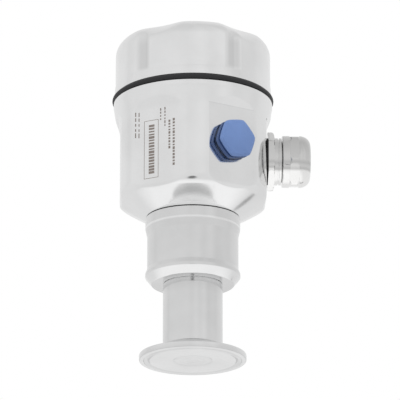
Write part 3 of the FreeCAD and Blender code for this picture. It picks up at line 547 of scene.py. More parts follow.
def new_material(name):
    """A material with its Principled shader; returns both and the wiring."""
    material = bpy.data.materials.new(name)
    material.use_nodes = True
    return material, material.node_tree.nodes["Principled BSDF"], Wiring(material.node_tree)


def scaled(colour, factor):
    """A colour made lighter or darker, with full alpha."""
    return tuple(min(1.0, channel * factor) for channel in colour) + (1.0,)


# Painted shade along a flute, standing in for the shade in its hollow: half widths in radians of its edge and its
# core, its fade over the base ring, and the depths under the top where it ends and where it is full
STRIP_EDGE, STRIP_CORE = 0.13, 0.04
STRIP_FADE = 0.002
STRIP_END, STRIP_FULL = 0.004, 0.011


def flute_shade_mask(wiring, where, sizes):
    """Share of painted shade: 1 along the middle of each flute, 0 on the lobes, the base ring and the crown."""
    place = wiring.add("ShaderNodeSeparateXYZ", {0: where})
    turn = wiring.maths("ARCTAN2", place.outputs["Y"], place.outputs["X"])
    step = TURN / sizes.flutes
    offset = wiring.maths("WRAP", wiring.maths("SUBTRACT", turn, sizes.flute_first), step / 2)
    offset.node.inputs[2].default_value = -step / 2
    aside = wiring.maths("ABSOLUTE", offset)
    near = wiring.add("ShaderNodeMapRange", {
        "Value": aside, "From Min": STRIP_EDGE, "From Max": STRIP_CORE}, interpolation_type="SMOOTHSTEP")
    above = wiring.add("ShaderNodeMapRange", {
        "Value": place.outputs["Z"], "From Min": sizes.ring_top, "From Max": sizes.ring_top + STRIP_FADE})
    below = wiring.add("ShaderNodeMapRange", {
        "Value": place.outputs["Z"], "From Min": sizes.top - STRIP_END, "From Max": sizes.top - STRIP_FULL})
    upright = wiring.maths("MULTIPLY", above.outputs["Result"], below.outputs["Result"])
    return wiring.maths("MULTIPLY", near.outputs["Result"], upright)


def painted_height_tone(wiring, where, stops):
    """Painted light and shade that change up the axis, from (height, grey) stops."""
    place = wiring.add("ShaderNodeSeparateXYZ", {0: where})
    top = stops[-1][0]
    tone = wiring.add("ShaderNodeValToRGB", {0: wiring.maths("DIVIDE", place.outputs["Z"], top)})
    ramp(tone, [(height / top, grey) for height, grey in stops])
    return tone.outputs["Color"]


# Handling patches darken and lighten a metal, painted shade darkens it along the flutes, and scratches roughen it
PATCH_TONES = (0.96, 1.03)
FLUTE_SHADE_TONE = 0.84
PATCH_ROUGHNESS = 0.15
SCRATCH_ROUGHNESS = 0.05
GRAIN_DEPTH = 0.00002
# Flow marks darken and lighten a moulding
FLOW_TONES = (0.88, 1.12)
FLOW_ROUGHNESS = 0.1
SKIN_DEPTH = 0.00004


def metal(name, groups, colour, roughness, across, grain, turn=(0.0, 0.0, 0.0), flutes=None, painted_tones=None):
    """Ground or turned metal: grain round its axis, handling patches, stray scratches, painted shade along flutes, and
    painted light and shade by height.
    """
    material, shader, wiring = new_material(name)
    where = wiring.add("ShaderNodeTexCoord").outputs["Object"]
    turned = wiring.add("ShaderNodeMapping", {"Vector": where, "Rotation": turn}).outputs["Vector"]
    lines = wiring.add("ShaderNodeGroup", node_tree=groups["grain"])
    wiring.put(lines, "Vector", turned)
    wiring.put(lines, "Across", across)
    marks = wiring.add("ShaderNodeGroup", node_tree=groups["handling"])
    wiring.put(marks, "Vector", where)
    tone = wiring.add("ShaderNodeMix", {
        "Factor": marks.outputs["Patches"], 6: scaled(colour, PATCH_TONES[0]), 7: scaled(colour, PATCH_TONES[1])},
        data_type="RGBA")
    if flutes:
        # Painted shade along the middle of each flute
        painted_shade = flute_shade_mask(wiring, where, flutes)
        tone = wiring.add("ShaderNodeMix", {
            "Factor": painted_shade, 6: tone.outputs[2], 7: scaled(colour, FLUTE_SHADE_TONE)}, data_type="RGBA")
    # Painted highlights, painted shade and painted reflection, by height
    if painted_tones:
        tone = wiring.add("ShaderNodeMix", {
            "Factor": 1.0, 6: tone.outputs[2], 7: painted_height_tone(wiring, where, painted_tones)}, data_type="RGBA",
            blend_type="MULTIPLY")
    wiring.put(shader, "Base Color", tone.outputs[2])
    rough = wiring.add("ShaderNodeMapRange", {
        "Value": marks.outputs["Patches"], "To Min": roughness * (1 - PATCH_ROUGHNESS),
        "To Max": roughness * (1 + PATCH_ROUGHNESS)})
    scuffed = wiring.maths("MULTIPLY_ADD", marks.outputs["Scratches"], SCRATCH_ROUGHNESS)
    wiring.put(scuffed.node, 2, rough.outputs["Result"])
    wiring.put(shader, "Roughness", scuffed)
    shader.inputs["Metallic"].default_value = 1.0
    bump = wiring.add("ShaderNodeBump", {
        "Strength": grain, "Distance": GRAIN_DEPTH, "Height": lines.outputs["Height"]})
    wiring.put(shader, "Normal", bump.outputs["Normal"])
    return material


def moulded(name, groups, colour, roughness, grain, shine):
    """Moulded plastic or rubber with a fine skin and a slight flow of tone."""
    material, shader, wiring = new_material(name)
    where = wiring.add("ShaderNodeTexCoord").outputs["Object"]
    skin = wiring.add("ShaderNodeGroup", node_tree=groups["moulded"])
    wiring.put(skin, "Vector", where)
    tone = wiring.add("ShaderNodeMix", {
        "Factor": skin.outputs["Flow"], 6: scaled(colour, FLOW_TONES[0]), 7: scaled(colour, FLOW_TONES[1])},
        data_type="RGBA")
    wiring.put(shader, "Base Color", tone.outputs[2])
    rough = wiring.add("ShaderNodeMapRange", {
        "Value": skin.outputs["Flow"], "To Min": roughness * (1 - FLOW_ROUGHNESS),
        "To Max": roughness * (1 + FLOW_ROUGHNESS)})
    wiring.put(shader, "Roughness", rough.outputs["Result"])
    shader.inputs["Specular IOR Level"].default_value = shine
    bump = wiring.add("ShaderNodeBump", {
        "Strength": grain, "Distance": SKIN_DEPTH, "Height": skin.outputs["Grain"]})
    wiring.put(shader, "Normal", bump.outputs["Normal"])
    return material


# Tones of the turned steel by height, with painted shade and painted highlights in the bands marked so
TURNED_SHADING = (
    (0.0, 0.93), (0.0002, 0.93), (0.0007, 0.85), (0.0013, 0.88), (0.0028, 0.92),  # face and rim of the ferrule
    (0.0036, 0.74), (0.0066, 0.74),  # its back
    (0.0074, 0.86), (0.0306, 0.86), (0.0345, 0.80),  # neck, with painted shade darkening it towards the collar
    (0.0362, 0.96), (0.0371, 1.0), (0.0372, 0.80),  # parting groove: painted lighter ring below it, and painted shade on the collar's underside
    (0.0373, 0.95), (0.0405, 0.95),  # painted highlight on the foot of the collar
    (0.0412, 0.84), (0.0639, 0.84),  # collar
    (0.0644, 1.0), (0.0648, 1.0),  # painted highlight line on its upper band
    (0.0653, 0.84), (0.0700, 0.84),
)
# Tones of the gland by height: painted reflection, darker above with two dark lines, and bright underneath
GLAND_SHADING = (
    (0.0, 1.0), (0.0916, 1.0), (0.0924, 0.60), (0.0936, 0.74), (0.0952, 0.60), (0.0966, 0.72), (0.1060, 0.66),
    (0.1200, 0.66),
)
# Metals: colour, roughness, fineness and depth of the grain
METALS = {
    "housing": ("housing_steel", 0.13, 2600.0, 0.15),
    "cover": ("housing_steel", 0.13, 2600.0, 0.15),
    "turned": ("turned_steel", 0.16, 3600.0, 0.25),
    "gland": ("gland_metal", 0.12, 3000.0, 0.2),
    "fastener": ("fastener_steel", 0.30, 3000.0, 0.3),
}
# Mouldings: colour, roughness, depth of the skin, shine
MOULDINGS = {
    "rubber": ("rubber", 0.55, 0.5, 0.35),
    "plug": ("plug_plastic", 0.42, 0.35, 0.5),
    "plug_base": ("plug_base", 0.46, 0.35, 0.5),
    "insert": ("insert_plastic", 0.5, 0.5, 0.5),
    "terminal": ("terminal_plastic", 0.45, 0.4, 0.5),
    "key": ("key_plastic", 0.45, 0.4, 0.5),
    "board": ("board", 0.35, 0.2, 0.5),
    "membrane": ("membrane", 0.8, 0.8, 0.5),
    "ink": ("ink", 0.6, 0.3, 0.5),
    "plug_rubber": ("plug_rubber", 0.55, 0.5, 0.35),
}


def finishes():
    """Every finish of the transmitter by name, built once."""
    found = {name: bpy.data.materials.get("transmitter_" + name) for name in (*METALS, *MOULDINGS)}
    if all(found.values()):
        return found
    scene = bpy.context.scene
    colours = scene.transmitter_finishes
    groups = {"grain": ground_grain_group(), "handling": handling_group(), "moulded": moulded_group()}
    # Painted shade along the cover's flutes, and painted light and shade by height on the turned steel and the gland
    extras = {
        "cover": {"flutes": scene.transmitter_cover},
        "turned": {"painted_tones": TURNED_SHADING},
        "gland": {"turn": (0.0, math.pi / 2, 0.0), "painted_tones": GLAND_SHADING},
    }
    made = {}
    for name, (colour, *values) in METALS.items():
        made[name] = metal("transmitter_" + name, groups, getattr(colours, colour), *values, **extras.get(name, {}))
    for name, (colour, *values) in MOULDINGS.items():
        made[name] = moulded("transmitter_" + name, groups, getattr(colours, colour), *values)
    return made


NODE_FINISHES = {
    "turned": ("process_connector", "isolating_diaphragm", "sensor_body", "sensing_cell", "cell_pins"),
    "housing": ("housing_body",),
    "cover": ("cover",),
    "gland": ("gland_body", "gland_nut", "vent_plug"),
    "fastener": ("swivel_circlip", "swivel_set_screw", "insert_screws", "terminal_screws", "earth_clamp",
                 "earth_screw"),
    "rubber": ("swivel_seal", "cover_seal", "gland_gasket", "gland_grommet"),
    "plug_rubber": ("plug_seal",),
    "plug": ("blanking_plug",),
    "insert": ("electronics_insert", "terminal_plate", "sensor_socket", "gland_cage"),
    "terminal": ("terminal_block",),
    "key": ("zero_key", "span_key"),
    "board": ("sensor_board", "circuit_board"),
    "membrane": ("vent_membrane",),
}


# Pieces

# Lugs inside the housing: bearing in degrees, inner end, bottom, top, and the radius, sides, distance from the axis and
# floor of the hole in each. Three hold the electronics insert, the last one the earth screw.
LUGS = (
    (30.0, 0.0255, 0.1070, 0.1130, 0.0015, 32, 0.0277, 0.1079),
    (150.0, 0.0255, 0.1070, 0.1130, 0.0015, 32, 0.0277, 0.1079),
    (270.0, 0.0255, 0.1070, 0.1130, 0.0015, 32, 0.0277, 0.1079),
    (200.0, 0.0222, 0.0860, 0.0920, 0.0021, 48, 0.0262, 0.0879),
)
LUG_OUTER = 0.0321
LUG_HALF_WIDTH = 0.0045
# Bosses and holes of the entries: radii, and distances from the flat
GLAND_BOSS, GLAND_HOLE = 0.0130, 0.0101
PLUG_BOSS, PLUG_HOLE = 0.0110, 0.0083
BOSS_START, BOSS_END, ENTRY_START = -0.0080, -0.0005, -0.0090
VENT_BEARING = math.radians(120.0)
VENT_HOLE, VENT_START = 0.0041, -0.0060
SET_SCREW_BEARING = math.pi / 2
SET_SCREW_HEIGHT = 0.0730
SET_SCREW_HOLE, SET_SCREW_START, SET_SCREW_END = 0.0016, -0.0180, 0.0040
# Length by which a cutting tool stands over the face that it cuts
CUT_OVER = 0.0010
# Heights between which the housing's rows need not be close, and half the height of a milled face's ledge
FOOT_ROWS_TOP, PLAIN_ROWS_START = 0.0900, 0.0940
ROW_STEP = 0.0004
LEDGE = 0.00001
# Turned relief under the cover's thread, and the step from the bore to the cavity
THREAD_RELIEF = 0.0012
CAVITY_STEP = 0.0010
# Sectors of the two flats that are milled for the entries
MILLED_SECTORS = (0, 5)
# How far a flat's runout goes past the lip, so that it has run out at its top
RUNOUT_OVER = 0.0001


def dome_profile(sizes):
    """Centre and radius of the arc of the housing's rounded underside."""
    foot = Vector((sizes.foot_radius, sizes.bottom))
    shoulder = Vector((sizes.body_radius, sizes.shoulder))
    chord = shoulder - foot
    outward = Vector((chord.y, -chord.x)).normalized()
    half = chord.length / 2
    radius = (half ** 2 + sizes.dome_bulge ** 2) / (2 * sizes.dome_bulge)
    return (foot + shoulder) / 2 + outward * (sizes.dome_bulge - radius), radius


def flat_outline(sizes, height):
    """Distance of a flat from the axis at a height, with its rounded foot and its S-shaped runout."""
    centre, radius = dome_profile(sizes)
    across = sizes.flat_apothem - centre.x
    drop = math.sqrt(radius ** 2 - across ** 2)
    slope = math.atan2(across, drop)
    foot_top = centre.y - drop + sizes.flat_foot * math.tan((math.pi / 2 - slope) / 2)
    foot_end = foot_top - sizes.flat_foot * math.cos(slope)
    middle = sizes.flat_apothem - sizes.flat_foot
    if height < foot_end:
        return middle + sizes.flat_foot * math.sin(slope) - (foot_end - height) / math.tan(slope)
    if height < foot_top:
        return middle + math.sqrt(sizes.flat_foot ** 2 - (height - foot_top) ** 2)
    step = sizes.lip_radius - sizes.flat_apothem + RUNOUT_OVER
    bend = (step ** 2 + sizes.runout ** 2) / (4 * step)
    rise = height - (sizes.runout_top - sizes.runout)
    if rise <= 0:
        return sizes.flat_apothem
    if rise <= sizes.runout / 2:
        return sizes.flat_apothem + bend - math.sqrt(bend ** 2 - rise ** 2)
    left = max(0.0, sizes.runout - rise)
    return sizes.flat_apothem + step - bend + math.sqrt(bend ** 2 - left ** 2)


def flare_outline(sizes, height):
    """Radius of a round strip at a height, with its flare to the lip."""
    step = sizes.lip_radius - sizes.body_radius
    bend = (step ** 2 + sizes.flare ** 2) / (2 * step)
    rise = max(0.0, height - sizes.lip_bottom + sizes.flare)
    return sizes.body_radius + bend - math.sqrt(bend ** 2 - rise ** 2)


def housing_outline(sizes):
    """(radius, height) outline of a round strip, from the foot of the rounded underside up to the lip."""
    centre, radius = dome_profile(sizes)
    corner_x = sizes.body_radius - sizes.shoulder_rounding
    lean = math.acos((corner_x - centre.x) / (radius - sizes.shoulder_rounding))
    corner_y = centre.y - (radius - sizes.shoulder_rounding) * math.sin(lean)
    outline = []
    for distance in np.linspace(sizes.foot_radius, centre.x + radius * math.cos(lean), 30):
        outline.append((distance, centre.y - math.sqrt(radius ** 2 - (distance - centre.x) ** 2)))
    for turn in np.linspace(lean, 0.0, 24)[1:]:
        outline.append((corner_x + sizes.shoulder_rounding * math.cos(turn),
                        corner_y - sizes.shoulder_rounding * math.sin(turn)))
    run = sizes.runout_top - sizes.runout
    heights = np.concatenate([
        np.linspace(outline[-1][1] + ROW_STEP, FOOT_ROWS_TOP, 16), np.linspace(PLAIN_ROWS_START, run, 5),
        np.linspace(run + ROW_STEP, sizes.lip_bottom, 40), (sizes.face_top - LEDGE, sizes.face_top + LEDGE)])
    for height in np.sort(heights):
        outline.append((flare_outline(sizes, height), height))
    return outline


def housing_rows(sizes):
    """Rings of the housing: underside, wall with its flats, rim, thread, and back down the inside."""
    rows = [(sizes.hub_bore, sizes.bottom), (sizes.foot_radius - ROW_STEP, sizes.bottom)]
    sector = np.floor(bearings(HOUSING_COLUMNS) / FLAT_STEP + 0.5) % 6
    milled = np.isin(sector, MILLED_SECTORS)
    ease = np.where(milled, sizes.face_ease, sizes.edge_ease)
    reach = flat_reach(1.0, FLAT_STEP / 2, 6, HOUSING_COLUMNS)
    for distance, height in housing_outline(sizes):
        flat = flat_outline(sizes, height)
        face = min(flat, sizes.flat_apothem) if height < sizes.face_top else flat
        rows.append((soft_min(distance, reach * np.where(milled, face, flat), ease), height))
    rows += eased([
        (sizes.lip_radius, sizes.lip_bottom, 0),
        (sizes.lip_radius, sizes.rim_top, sizes.rim_edge),
        (sizes.thread_radius, sizes.rim_top, 0),
    ])[1:]
    rows += thread_rows(sizes.thread_radius, sizes.thread_depth, sizes.thread_pitch,
                        sizes.rim_top + THREAD_RELIEF, sizes.thread_top - THREAD_CHAMFER, HOUSING_COLUMNS)
    return rows + [
        (sizes.thread_radius - THREAD_CHAMFER, sizes.thread_top),
        (sizes.thread_bore, sizes.thread_top),
        (sizes.thread_bore, sizes.lip_bottom),
        (sizes.cavity_radius, sizes.lip_bottom - CAVITY_STEP),
        (sizes.cavity_radius, sizes.floor + sizes.bevel_height),
        (sizes.cavity_radius - sizes.bevel_width, sizes.floor),
        (sizes.hub_radius, sizes.floor),
        (sizes.hub_radius, sizes.hub_top),
        (sizes.hub_bore, sizes.hub_top),
    ]


class TRANSMITTER_OT_housing(bpy.types.Operator):
    """Housing with softened flats and a cut thread"""
    bl_idname = "transmitter.housing"
    bl_label = "Housing"

    def execute(self, context):
        """Builds the housing as rings round its axis, then adds its lugs and bosses and cuts its holes."""
        sizes = context.scene.transmitter_housing
        piece = ring_piece("housing_shell", housing_rows(sizes), columns=HOUSING_COLUMNS)
        entry_height = context.scene.transmitter_gland.entry_height
        at_gland = on_flat(sizes.flat_apothem, entry_height, 0.0)
        at_plug = on_flat(sizes.flat_apothem, entry_height, context.scene.transmitter_plug.bearing)
        at_vent = on_flat(sizes.flat_apothem, entry_height, VENT_BEARING)
        at_screw = on_flat(sizes.flat_apothem, SET_SCREW_HEIGHT, SET_SCREW_BEARING)
        lugs = []
        holes = []
        for degrees, inner, bottom, top, hole, sides, distance, hole_floor in LUGS:
            turn = Matrix.Rotation(math.radians(degrees), 4, "Z")
            lugs.append(tool_block((inner, -LUG_HALF_WIDTH, bottom), (LUG_OUTER, LUG_HALF_WIDTH, top), turn))
            holes.append(tool_rod(hole, hole_floor, top + CUT_OVER, turn @ Matrix.Translation((distance, 0, 0)), sides))
        combine(piece, "UNION", lugs + [
            tool_rod(GLAND_BOSS, BOSS_START, BOSS_END, at_gland),
            tool_rod(PLUG_BOSS, BOSS_START, BOSS_END, at_plug),
        ])
        combine(piece, "DIFFERENCE", holes + [
            tool_rod(GLAND_HOLE, ENTRY_START, CUT_OVER, at_gland),
            tool_rod(PLUG_HOLE, ENTRY_START, CUT_OVER, at_plug),
            tool_rod(VENT_HOLE, VENT_START, CUT_OVER, at_vent, 64),
            tool_rod(SET_SCREW_HOLE, SET_SCREW_START, SET_SCREW_END, at_screw, 32),
        ])
        smooth(piece.data)
        stands_for(piece, "housing_body", "housing", finishes()["housing"])
        return {"FINISHED"}


COVER_ROWS = 150
PROFILE_STEPS = 80
# How far the cover's wall goes on below the base ring's top, a distance past everything, and the least square of a
# length
WALL_OVER = 0.002
FAR = 1.0
TINY = 1e-12


def plain_cover_reach(sizes, directions, start):
    """Distance from a point on the axis to the cover's round body, along each direction."""
    edge = sizes.top - sizes.rounding
    crown_radius = sizes.lobe_radius - sizes.rounding
    sphere = (crown_radius ** 2 + sizes.crown ** 2) / (2 * sizes.crown)
    wall = np.linspace(start - WALL_OVER, edge, PROFILE_STEPS)
    corner = np.linspace(0, math.pi / 2, PROFILE_STEPS)
    crown = np.linspace(crown_radius, 0, PROFILE_STEPS)
    radii = np.concatenate([
        np.full_like(wall, sizes.lobe_radius), crown_radius + sizes.rounding * np.cos(corner), crown])
    heights = np.concatenate([
        wall, edge + sizes.rounding * np.sin(corner),
        sizes.top + sizes.crown - sphere + np.sqrt(sphere ** 2 - crown ** 2)])
    tilt = np.arctan2(radii, heights - start)
    span = np.hypot(radii, heights - start)
    sine = np.hypot(directions[..., 0], directions[..., 1])
    return np.interp(np.arctan2(sine, directions[..., 2]), tilt[::-1], span[::-1])


def cutter_reach(directions, turn, axis, point, radius):
    """Distance along each direction to a cylinder turned round the upright axis, and FAR where it is missed."""
    cosine, sine = math.cos(turn), math.sin(turn)
    local = np.stack([
        directions[..., 0] * cosine + directions[..., 1] * sine,
        directions[..., 1] * cosine - directions[..., 0] * sine,
        directions[..., 2]], axis=-1)
    side = local - (local @ axis)[..., None] * axis
    offset = point - (point @ axis) * axis
    square = np.maximum((side * side).sum(-1), TINY)
    middle = side @ offset
    root = middle ** 2 - square * (offset @ offset - radius ** 2)
    hit = np.where(root > 0, (middle - np.sqrt(np.maximum(root, 0))) / square, FAR)
    return np.where(hit > 0, hit, FAR)


def cover_reach(sizes, directions, start):
    """Distance from a point on the axis to the cover's outside with its flutes and scoops, along each direction."""
    upright = np.array([0.0, 0.0, 1.0])
    flute_axis = np.array([sizes.lobe_radius - sizes.flute_depth + sizes.flute_radius, 0.0, 0.0])
    slope = sizes.scoop_slope
    along = np.array([-math.cos(slope), 0.0, math.sin(slope)])
    away = np.array([math.sin(slope), 0.0, math.cos(slope)])
    valley = np.array([sizes.radius, 0.0, sizes.top - sizes.scoop_drop])
    scoop_axis = valley + away * sizes.scoop_radius - np.array([0.0, 0.0, start])
    found = plain_cover_reach(sizes, directions, start)
    for index in range(sizes.flutes):
        turn = sizes.flute_first + TURN * index / sizes.flutes
        flute = cutter_reach(directions, turn, upright, flute_axis, sizes.flute_radius)
        found = soft_min(found, flute, sizes.flute_ease)
        scoop = cutter_reach(directions, turn + sizes.scoop_offset, along, scoop_axis, sizes.scoop_radius)
        found = soft_min(found, scoop, sizes.scoop_ease)
    return found


class TRANSMITTER_OT_cover(bpy.types.Operator):
    """Screw cover with softened flutes and scoops"""
    bl_idname = "transmitter.cover"
    bl_label = "Cover"

    def execute(self, context):
        """Builds the cover as rings seen from a point on its axis."""
        sizes = context.scene.transmitter_cover
        housing = context.scene.transmitter_housing
        start = sizes.ring_top
        turns = bearings()
        rows = []
        for tilt in np.linspace(0.0, math.pi / 2, COVER_ROWS):
            directions = np.stack([
                math.sin(tilt) * np.cos(turns), math.sin(tilt) * np.sin(turns),
                np.full_like(turns, math.cos(tilt))], axis=-1)
            reach = cover_reach(sizes, directions, start)
            heights = np.minimum(start + reach * math.cos(tilt), sizes.top + sizes.crown)
            rows.append((reach * math.sin(tilt), heights))
        rows[0] = (0.0, rows[0][1])
        rows += eased([
            (sizes.lobe_radius, sizes.ring_top, 0),
            (sizes.radius, sizes.ring_top, sizes.ring_edge),
            (sizes.radius, sizes.bottom, sizes.skirt_edge),
            (sizes.bore + THREAD_CHAMFER, sizes.bottom, 0),
        ])[1:]
        rows += thread_rows(sizes.bore, -housing.thread_depth, housing.thread_pitch,
                            sizes.bottom + THREAD_CHAMFER, sizes.thread_end - THREAD_CHAMFER)
        rows += eased([
            (sizes.bore, sizes.thread_end, 0),
            (sizes.inner_radius, sizes.thread_end, 0),
            (sizes.inner_radius, sizes.inner_top, sizes.inner_rounding),
            (0.0, sizes.inner_top, 0),
        ], steps=10)
        piece = ring_piece("cover_shell", rows)
        stands_for(piece, "cover", "cover", finishes()["cover"])
        return {"FINISHED"}


# Heights in the ferrule's face: oil pocket, diaphragm's bed, and start of the weld bevel round the diaphragm
OIL_POCKET, DIAPHRAGM_BED, BEVEL_START = 0.00115, 0.00065, 0.00036
BED_WIDTH = 0.00105
# Weld bevel: distance outwards from the diaphragm, and height
WELD_BEVEL = ((0.0003, 0.00020), (0.0007, 0.00007), (0.0013, 0.0))
# Flat land beside the gasket groove, slant of the parting groove, and gap between the neck's spigot and the collar
GROOVE_LAND = 0.0002
PARTING_SLANT = 0.0001
SPIGOT_GAP = 0.00005


def ferrule_face(sizes):
    """Outline of the ferrule's face, from the oil capillary out to the land beyond the gasket groove."""
    inner = sizes.diaphragm - BED_WIDTH
    face = [(sizes.capillary, OIL_POCKET), (inner, OIL_POCKET), (inner, DIAPHRAGM_BED),
            (sizes.diaphragm, DIAPHRAGM_BED), (sizes.diaphragm, BEVEL_START)]
    face += [(sizes.diaphragm + outwards, height) for outwards, height in WELD_BEVEL]
    half = sizes.groove_width / 2
    bend = (half ** 2 + sizes.groove_depth ** 2) / (2 * sizes.groove_depth)
    reach = math.asin(half / bend)
    face.append((sizes.groove_radius - half - GROOVE_LAND, 0.0))
    for turn in np.linspace(-reach, reach, 17):
        face.append((sizes.groove_radius + bend * math.sin(turn),
                     sizes.groove_depth - bend + bend * math.cos(turn)))
    face.append((sizes.groove_radius + half + GROOVE_LAND, 0.0))
    return face


class TRANSMITTER_OT_fitting(bpy.types.Operator):
    """Turned clamp ferrule with its neck, and the sensor body's collar"""
    bl_idname = "transmitter.fitting"
    bl_label = "Fitting and Collar"

    def execute(self, context):
        """Builds both turned pieces with softened edges."""
        sizes = context.scene.transmitter_fitting
        face = ferrule_face(sizes)
        cone_top = sizes.rim + (sizes.face_radius - sizes.neck_radius) * math.tan(sizes.back_angle)
        parting_radius = sizes.neck_radius - sizes.parting
        parting_bottom = sizes.neck_top - sizes.parting
        outside = eased([
            (*face[-1], 0),
            (sizes.face_radius, 0.0, sizes.rim_edge),
            (sizes.face_radius, sizes.rim, sizes.rim_edge),
            (sizes.neck_radius, cone_top, sizes.neck_fillet),
            (sizes.neck_radius, parting_bottom, PARTING_SLANT),
            (parting_radius, parting_bottom + PARTING_SLANT, 0),
            (parting_radius, sizes.neck_top, 0),
            (sizes.spigot, sizes.neck_top, 0),
            (sizes.spigot, sizes.spigot_top, 0),
            (sizes.capillary, sizes.spigot_top, 0),
        ], steps=8)[1:]
        piece = ring_piece("clamp_fitting", face + outside)
        stands_for(piece, "process_connector", "process", finishes()["turned"])
        band, waist, swivel = sizes.band_radius, sizes.waist_radius, sizes.swivel_radius
        seal_radius = swivel - sizes.seal_groove_depth
        circlip_radius = swivel - sizes.circlip_groove_depth
        socket = sizes.spigot + SPIGOT_GAP
        socket_top = sizes.spigot_top + SPIGOT_GAP
        rows = eased([
            (socket, sizes.neck_top, 0),
            (sizes.foot_radius, sizes.neck_top, 0.0008),
            (band, sizes.lower_band_bottom, 0.0006),
            (band, sizes.lower_band_top, 0.0005),
            (waist, sizes.waist_bottom, 0.0010),
            (waist, sizes.waist_top, 0.0020),
            (band, sizes.upper_band_bottom, 0.0010),
            (band, sizes.collar_top, 0.0003),
            (swivel, sizes.collar_top, 0),
            (swivel, sizes.seal_groove_bottom, 0),
            (seal_radius, sizes.seal_groove_bottom, 0),
            (seal_radius, sizes.seal_groove_top, 0),
            (swivel, sizes.seal_groove_top, 0),
            (swivel, sizes.circlip_groove_bottom, 0),
            (circlip_radius, sizes.circlip_groove_bottom, 0),
            (circlip_radius, sizes.circlip_groove_top, 0),
            (swivel, sizes.circlip_groove_top, 0),
            (swivel, sizes.swivel_top, 0.0003),
            (sizes.bore, sizes.swivel_top, 0.0002),
            (sizes.bore, sizes.cell_seat, 0),
            (sizes.capillary, sizes.cell_seat, 0),
            (sizes.capillary, socket_top, 0),
            (socket, socket_top, 0),
        ], steps=8)
        piece = ring_piece("sensor_collar", rows)
        stands_for(piece, "sensor_body", "process", finishes()["turned"])
        return {"FINISHED"}


# Dash columns on the marked flat: place to the right of its middle, width, lowest and highest point, dashes
MARK_COLUMNS = (
    (-0.00350, 0.0030, 0.0830, 0.1075, 17),
    (-0.01215, 0.0005, 0.1020, 0.1150, 5),
    (-0.01030, 0.0005, 0.1016, 0.1146, 5),
    (0.00130, 0.0006, 0.1085, 0.1150, 4),
    (0.00360, 0.0006, 0.1052, 0.1152, 6),
    (0.00600, 0.0010, 0.0940, 0.1085, 10),
    (0.00830, 0.0011, 0.0854, 0.1090, 15),
)
# Frame round the first column: left, low, right and high side
MARK_FRAME = (-0.0074, 0.0810, 0.00005, 0.1095)


def mark_tree():
    """Geometry nodes that lay dash columns and a frame on a flat: X runs down the flat, Y to the right."""
    tree = bpy.data.node_groups.new("Flat marks", "GeometryNodeTree")
    tree.interface.new_socket("Geometry", in_out="OUTPUT", socket_type="NodeSocketGeometry")
    for name, kind in (("Thickness", "Float"), ("Line", "Float"), ("Shortest", "Float"), ("Longest", "Float"),
                       ("Seed", "Int"), ("Material", "Material")):
        tree.interface.new_socket(name, in_out="INPUT", socket_type="NodeSocket" + kind)
    wiring = Wiring(tree)
    given = wiring.add("NodeGroupInput")
    result = wiring.add("NodeGroupOutput")
    joined = wiring.add("GeometryNodeJoinGeometry")
    # Points along X let a mark bend with the flat's runout
    brick = wiring.add("GeometryNodeMeshCube", {"Size": (1.0, 1.0, 1.0), "Vertices X": 4})
    for right, width, low, high, count in MARK_COLUMNS:
        pitch = (high - low) / count
        line = wiring.add("GeometryNodeMeshLine", {
            "Count": count, "Start Location": (-high + pitch / 2, right, 0.0), "Offset": (pitch, 0.0, 0.0)})
        part = wiring.add("FunctionNodeRandomValue", {"Seed": given.outputs["Seed"]}, data_type="FLOAT")
        tree.links.new(given.outputs["Shortest"], part.inputs[2])
        tree.links.new(given.outputs["Longest"], part.inputs[3])
        long = wiring.add("ShaderNodeMath", {0: part.outputs[1], 1: pitch}, operation="MULTIPLY")
        size = wiring.add("ShaderNodeCombineXYZ", {
            "X": long.outputs[0], "Y": width, "Z": given.outputs["Thickness"]})
        dashes = wiring.add("GeometryNodeInstanceOnPoints", {
            "Points": line.outputs["Mesh"], "Instance": brick.outputs["Mesh"], "Scale": size.outputs[0]})
        tree.links.new(dashes.outputs["Instances"], joined.inputs[0])
    left, low, right, high = MARK_FRAME
    for place, size in (
            ((-low, (left + right) / 2), (None, right - left)), ((-high, (left + right) / 2), (None, right - left)),
            ((-(low + high) / 2, left), (high - low, None)), ((-(low + high) / 2, right), (high - low, None))):
        spread = wiring.add("ShaderNodeCombineXYZ", {
            "X": size[0] or given.outputs["Line"], "Y": size[1] or given.outputs["Line"],
            "Z": given.outputs["Thickness"]})
        edge = wiring.add("GeometryNodeTransform", {
            "Geometry": brick.outputs["Mesh"], "Translation": (*place, 0.0), "Scale": spread.outputs[0]})
        tree.links.new(edge.outputs["Geometry"], joined.inputs[0])
    real = wiring.add("GeometryNodeRealizeInstances", {"Geometry": joined.outputs["Geometry"]})
    dressed = wiring.add("GeometryNodeSetMaterial", {
        "Geometry": real.outputs["Geometry"], "Material": given.outputs["Material"]})
    wiring.put(result, "Geometry", dressed.outputs["Geometry"])
    return tree


class TRANSMITTER_OT_label(bpy.types.Operator):
    """Plain bars and dashes marked on a flat"""
    bl_idname = "transmitter.label"
    bl_label = "Flat Marks"

    def execute(self, context):
        """Lays the marks on the flat and bends them up its runout."""
        sizes = context.scene.transmitter_label
        housing = context.scene.transmitter_housing
        ink = finishes()["ink"]
        piece = link("flat_marks", bpy.data.meshes.new("flat_marks"))
        nodes = piece.modifiers.new("marks", "NODES")
        nodes.node_group = mark_tree()
        values = {"Thickness": 2 * sizes.thickness, "Line": sizes.line, "Shortest": sizes.shortest,
                  "Longest": sizes.longest, "Seed": sizes.seed, "Material": ink}
        for socket in nodes.node_group.interface.items_tree:
            if socket.in_out == "INPUT":
                nodes[socket.identifier] = values[socket.name]
        settle(piece)
        if not piece.data.polygons:
            raise RuntimeError("the marks came out empty")
        for point in piece.data.vertices:
            point.co.z += flat_outline(housing, -point.co.x) - housing.flat_apothem
        piece.data.transform(on_flat(housing.flat_apothem, 0.0, sizes.bearing))
        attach(piece, "housing")
        return {"FINISHED"}


